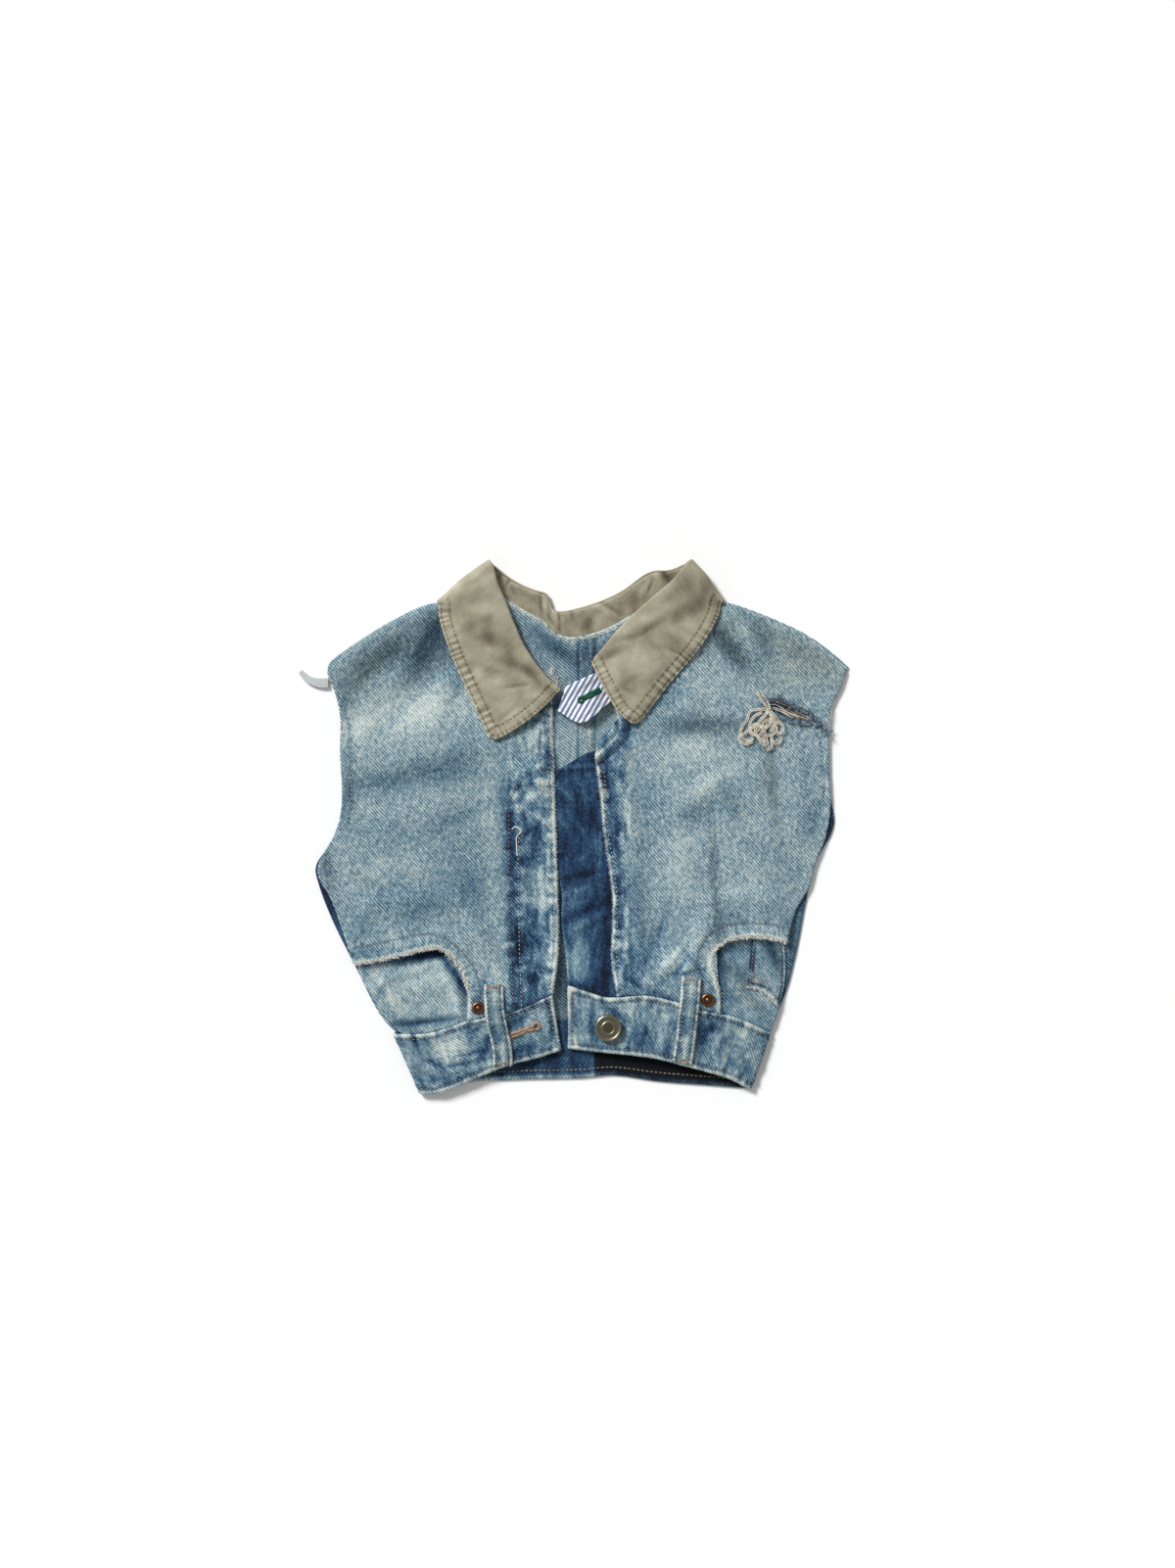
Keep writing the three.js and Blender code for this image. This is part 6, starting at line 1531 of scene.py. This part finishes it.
stand_fade_and_shade = (0.56 + spots(STAND_CREASES, "fade", x, y) + 0.1 * wander(x, y, 5, 87)
              + 0.12 * bell(w, 0.08) - 0.12 * bell(w - 0.84, 0.05))
stand_piece = cloth("khaki_collar_stand", stand_inner, stand_outer, {
    "fade": stand_fade_and_shade, "mottle": 0.4, "grime": 0.05, "weave": weave_of(stand)})
dress(stand_piece, KHAKI_TWILL, "khaki_twill", ["collar_stand"])
stand_rows = [stand_inner[STAND_ROWS + 10:STAND_ROWS + STAND_BACK_ROWS, 3]]
topstitch("collar_stand_stitches", stand_rows, BROWN, "khaki_twill", pitch=2.1, size=(1.3, 0.55, 0.4),
          seed=26)

# Neck tab. A pointed tab of blue and white striped shirting, turned and pressed, with a green
# keyhole buttonhole. It is sewn to the right end of the stand, under the fall.
TAB_CLOTH = 1.0
TAB_LOW = outline("-16.5 78.5, -.7 70.6, 14 81, 25 91")
TAB_HIGH = outline("-11.2 94.4, -6.6 97, 8.6 103.6, 16 107")
TAB_FREE, TAB_SEWN = 4.4, 7.3
# Creases on the tab. Their fade column is painted shade, darkest at the tab's upper right.
TAB_CREASES = table("x y turn long wide high fade", """
    3 95 30 12 1.8 .9 -.16, 8 98.6 28 12 1.8 -.9 -.4, 13 88 55 9 1.8 -.8 -.34, 16 93 60 9 1.8 .8 -.2,
    -10 84 60 12 2.5 .5 0, 0 76 25 10 2 .5 0, 11 82 45 8 1.8 .7 -.1, -2 92 35 10 1.8 -.6 -.14,
    6 78 40 8 1.6 -.6 -.12""")


def striped_cloth(name, pale, dark, pitch):
    """Shirting with even stripes along its weave's y, the threads a little uneven."""
    material, tree, shader = paint(name, {"Roughness": 0.85, "Specular IOR Level": 0.2})
    weave = mark(tree, "weave", "Vector")
    stripes = place(tree, "ShaderNodeTexWave", {"wave_type": "BANDS", "bands_direction": "X"}, {
        "Vector": weave, "Scale": 2 * math.pi / (20 * pitch * MM), "Distortion": 0.9, "Detail": 3.0,
        "Detail Scale": 12.0})
    bands = place(tree, "ShaderNodeValToRGB", None, {"Fac": stripes.outputs["Fac"]})
    low, high = bands.color_ramp.elements
    low.position, high.position = 0.32, 0.68
    low.color, high.color = linear(*dark), linear(*pale)
    threads = noise(tree, weave, 1500.0, 2.0)
    # The stripes are darkened by the fade mark, which carries the painted shade of the tab's creases.
    worn = maths(tree, "MULTIPLY_ADD", threads, 0.35, mark(tree, "fade"))
    tint = place(tree, "ShaderNodeMix", {"data_type": "RGBA", "blend_type": "MULTIPLY"},
                 {"Factor": 1.0, 6: bands.outputs["Color"], 7: worn})
    tree.links.new(tint.outputs[2], shader.inputs["Base Color"])
    bumps(tree, shader, threads, 0.25, 0.2)
    return material


tab_grid = plan(Side(TAB_LOW), Side(TAB_HIGH), Side([TAB_LOW[0], TAB_HIGH[0]]),
                Side([TAB_LOW[-1], TAB_HIGH[-1]]), shares(76), shares(48))
x, y = tab_grid[..., 0], tab_grid[..., 1]
tab_level = TAB_FREE + (TAB_SEWN - TAB_FREE) * ease((x + 10) / 16)
tab_outline = np.vstack([TAB_LOW[::-1], TAB_HIGH])
_, tab_edge = beside(finer(tab_outline, 2.0), x, y)
tab_pressed = bell(np.abs(tab_edge) - 1.8, 0.6)
tab_outer, tab_inner = walls(np.dstack([tab_grid, tab_level + 0.5 * spots(TAB_CREASES, "high", x, y)
                                        + 0.15 * wander(x, y, 3, 91)]), TAB_CLOTH, -0.2 * tab_pressed)
tab = cloth("striped_neck_tab", tab_outer, tab_inner, {
    "fade": 0.9 + spots(TAB_CREASES, "fade", x, y) - 0.12 * tab_pressed, "weave": weave_of(tab_grid, -30)})
SHIRTING = striped_cloth("striped_shirting", (236, 238, 241), (104, 117, 152), 3.2)
dress(tab, SHIRTING, "striped_shirting", ["neck_tab"])
GREEN = yarn_finish("buttonhole_green", (6, 92, 60), 0.3)
eye_line = finer(keyhole((11.8, 92.7), (-1.0, 85.8), 1.7, 1.0), 0.35)
topstitch("tab_buttonhole", [settle(tab_outer, eye_line, 0.3)], GREEN, "striped_shirting", pitch=0.4,
          size=(0.6, 2.7, 1.2), seed=31)
topstitch("tab_slit", [settle(tab_outer, finer(np.array([[10.6, 92.1], [-1.0, 85.8]])), 0.5)], SHADOW,
          "striped_shirting", pitch=0.5, size=(0.7, 0.45, 0.4), seed=32)

# Hanger loop. A doubled ribbon of clear tape, sewn in at the left shoulder, its free end folded
# back on itself.
TAPE = table("x y width", "-171.3 97.4 6.4, -178 97.6 6, -185 100 4.6, -190 105 2.6")
TAPE_THICKNESS = 0.6
TAPE_LOW, TAPE_HIGH = 0.4, 1.9
t = np.linspace(0, 1, 60)
tape_line = Side(np.column_stack([TAPE["x"], TAPE["y"]]))(t)
tape_width = TAPE["width"][0] + (TAPE["width"][-1] - TAPE["width"][0]) * t**1.5
tape_offs = tape_width[:, None] * np.linspace(0.5, -0.5, 13)[None]
tape_low = ribbon(tape_line, tape_offs, np.full((60, 1), TAPE_LOW))
tape_high = ribbon(tape_line, tape_offs, TAPE_HIGH + 0.2 * np.sin(5 * t)[:, None])[::-1]
tape_rows = np.concatenate([tape_low, round_fold(tape_low[-1], tape_high[0], (-0.68, 0.73), 6), tape_high])
tape_outer, tape_inner = walls(tape_rows, TAPE_THICKNESS)
tape = cloth("clear_hanger_loop", tape_outer, tape_inner, {"weave": weave_of(tape_rows)})
CLEAR_TAPE, tape_tree, tape_shader = paint("clear_tape", {
    "Base Color": linear(222, 225, 226), "Transmission Weight": 0.3, "IOR": 1.45})
tape_where = place(tape_tree, "ShaderNodeTexCoord").outputs["Object"]
scuffed = place(tape_tree, "ShaderNodeValToRGB", None, {"Fac": noise(tape_tree, tape_where, 600.0, 4.0)})
scuffed.color_ramp.elements[0].color = (0.16, 0.16, 0.16, 1.0)
scuffed.color_ramp.elements[1].color = (0.5, 0.5, 0.5, 1.0)
tape_tree.links.new(scuffed.outputs["Color"], tape_shader.inputs["Roughness"])
dress(tape, CLEAR_TAPE, "clear_tape", ["hanger_loop"])

# Rip yarns. The white weft of the torn cloth: a few yarns still cross the slit, and the rest
# hang from its left end in a tangle of loops over the front.
def yarn_tree():
    """Round yarns along lines."""
    tree, given = start_tree("yarns", Radius="Float", Thread="Material")
    line = place(tree, "GeometryNodeMeshToCurve", None, {"Mesh": given["Geometry"]})
    end_tree(tree, tube(tree, line.outputs[0], 6, given["Radius"]), given["Thread"])
    return tree


YARNS = yarn_tree()
WEFT = yarn_finish("pulled_weft", (240, 233, 214), 0.2)
GREY_YARN = yarn_finish("grey_yarn", (120, 110, 100), 0.5)
yarn_rng = np.random.default_rng(11)
RIP_MIDDLE = table("x y half", "122 83.4 2.2, 130 82 4.4, 140 77.4 3.6, 150 73.8 2.4, 159 70.4 .3")
rip_middle, rip_half = reading(RIP_MIDDLE, "x", "y"), reading(RIP_MIDDLE, "x", "half")


def lay_yarns(lines, lift):
    """Yarns in plan, laid over the right front at heights of their own."""
    return [np.column_stack([line, highest("right", line[:, 0], line[:, 1], 1.5) + lift + rise])
            for line, rise in lines]


def side_by_side(line, rise, count, gap=0.62):
    """A flat lock of yarns that lie beside one another along a line."""
    aside = left_of(line)
    return [(line + aside * gap * (k - (count - 1) / 2), rise + 0.15 * k) for k in range(count)]


LOCKS = [outline(line) for line in """
    117.4 91.6, 119.6 87, 122.6 82.6, 124.6 78.4;
    119.6 92.4, 122 88, 124.6 84, 126 79.4""".split(";")]
HANKS = [outline(line) for line in """
    124.6 79, 119 79.6, 112.6 78, 110.6 72.4, 107.4 68, 106 62.4, 110 58.6, 115 60;
    125 78, 121 73, 115.6 68.4, 109.6 64, 104.9 60.2, 108.6 56.4, 114.4 57.8;
    124.4 78.4, 121.6 74, 118 66, 114 62.4, 112.4 66.6, 116.4 69.6, 121.4 66.2;
    125.4 78.6, 126.6 73, 124 67.6, 119.4 65.6, 119 70.8, 123.4 73.4, 127.4 70, 126.4 64.4;
    125.6 78, 128.6 72.4, 130.4 66.6, 127.4 62.4, 122.4 61.6, 119 58.4;
    126 78.6, 130.4 73.6, 134.9 66.8, 131.6 63, 128 66.4, 131 70.6, 134 69;
    125.6 77, 129 69, 131.4 62.6, 133.9 60, 131.4 56.6, 127.6 58.4, 127.2 63.6;
    123.4 76.6, 121 70, 122.6 63, 124 57, 124.4 52.4, 126.8 54.6, 127 60;
    122.6 75.6, 118.4 71, 116 64.4, 118.8 59.4, 122.6 55.4, 121.6 60.4;
    120.6 77.4, 115.6 75, 112.4 69.8, 113.4 64.4, 117.8 61.8, 121.6 65;
    121.8 72.4, 123.8 70.8, 123.4 68.2, 120.8 67.6, 119.4 69.8, 120.8 72.2, 123 72.6""".split(";")]
tangle = []
for k, hank in enumerate(HANKS):
    line = smooth(hank, 10)
    s = np.linspace(0, 1, len(line))
    waves = 0.7 * np.sin((2 + k % 3) * math.pi * s) ** 2
    rise = 0.5 + yarn_rng.uniform(0, 1.2) + waves + 0.6 * ease(1 - 4 * s)
    tangle += side_by_side(line, rise, 2, 1.15)
for lock in LOCKS:
    tangle += side_by_side(smooth(lock, 10), 1.1, 2, 0.95)
yarns = grow("rip_tangle", YARNS, lay_yarns(tangle, 0.45), Radius=0.34 * MM, Thread=WEFT)
seat(yarns, "white_weft", "rip_threads")
crossing = {"pale": [], "grey": []}
for k in range(20):
    first, last = yarn_rng.uniform(121.5, 134), yarn_rng.uniform(140, 158)
    x = np.linspace(first, last, 40)
    share = yarn_rng.uniform(-0.85, 0.85) + 0.25 * np.sin(np.linspace(0, yarn_rng.uniform(2, 6), 40))
    y = rip_middle(x) + share * rip_half(x)
    tone = "pale" if k % 3 == 0 else "grey"
    crossing[tone].append((np.column_stack([x, y]), yarn_rng.uniform(-1.3, -0.5)))
for tone, thread in (("pale", WEFT), ("grey", GREY_YARN)):
    strands = lay_yarns(crossing[tone], -0.3)
    seat(grow(f"rip_crossing_{tone}", YARNS, strands, Radius=0.3 * MM, Thread=thread), "white_weft")
LOOSE_END = outline("-47.4 -1, -45 .7, -41.3 -2.5, -44 -5.6, -44.4 -12, -43.9 -19")
loose_end = [settle(left_face, smooth(LOOSE_END, 6), 0.3)]
seat(grow("front_loose_ends", YARNS, loose_end, Radius=0.42 * MM, Thread=WEFT), "white_weft")
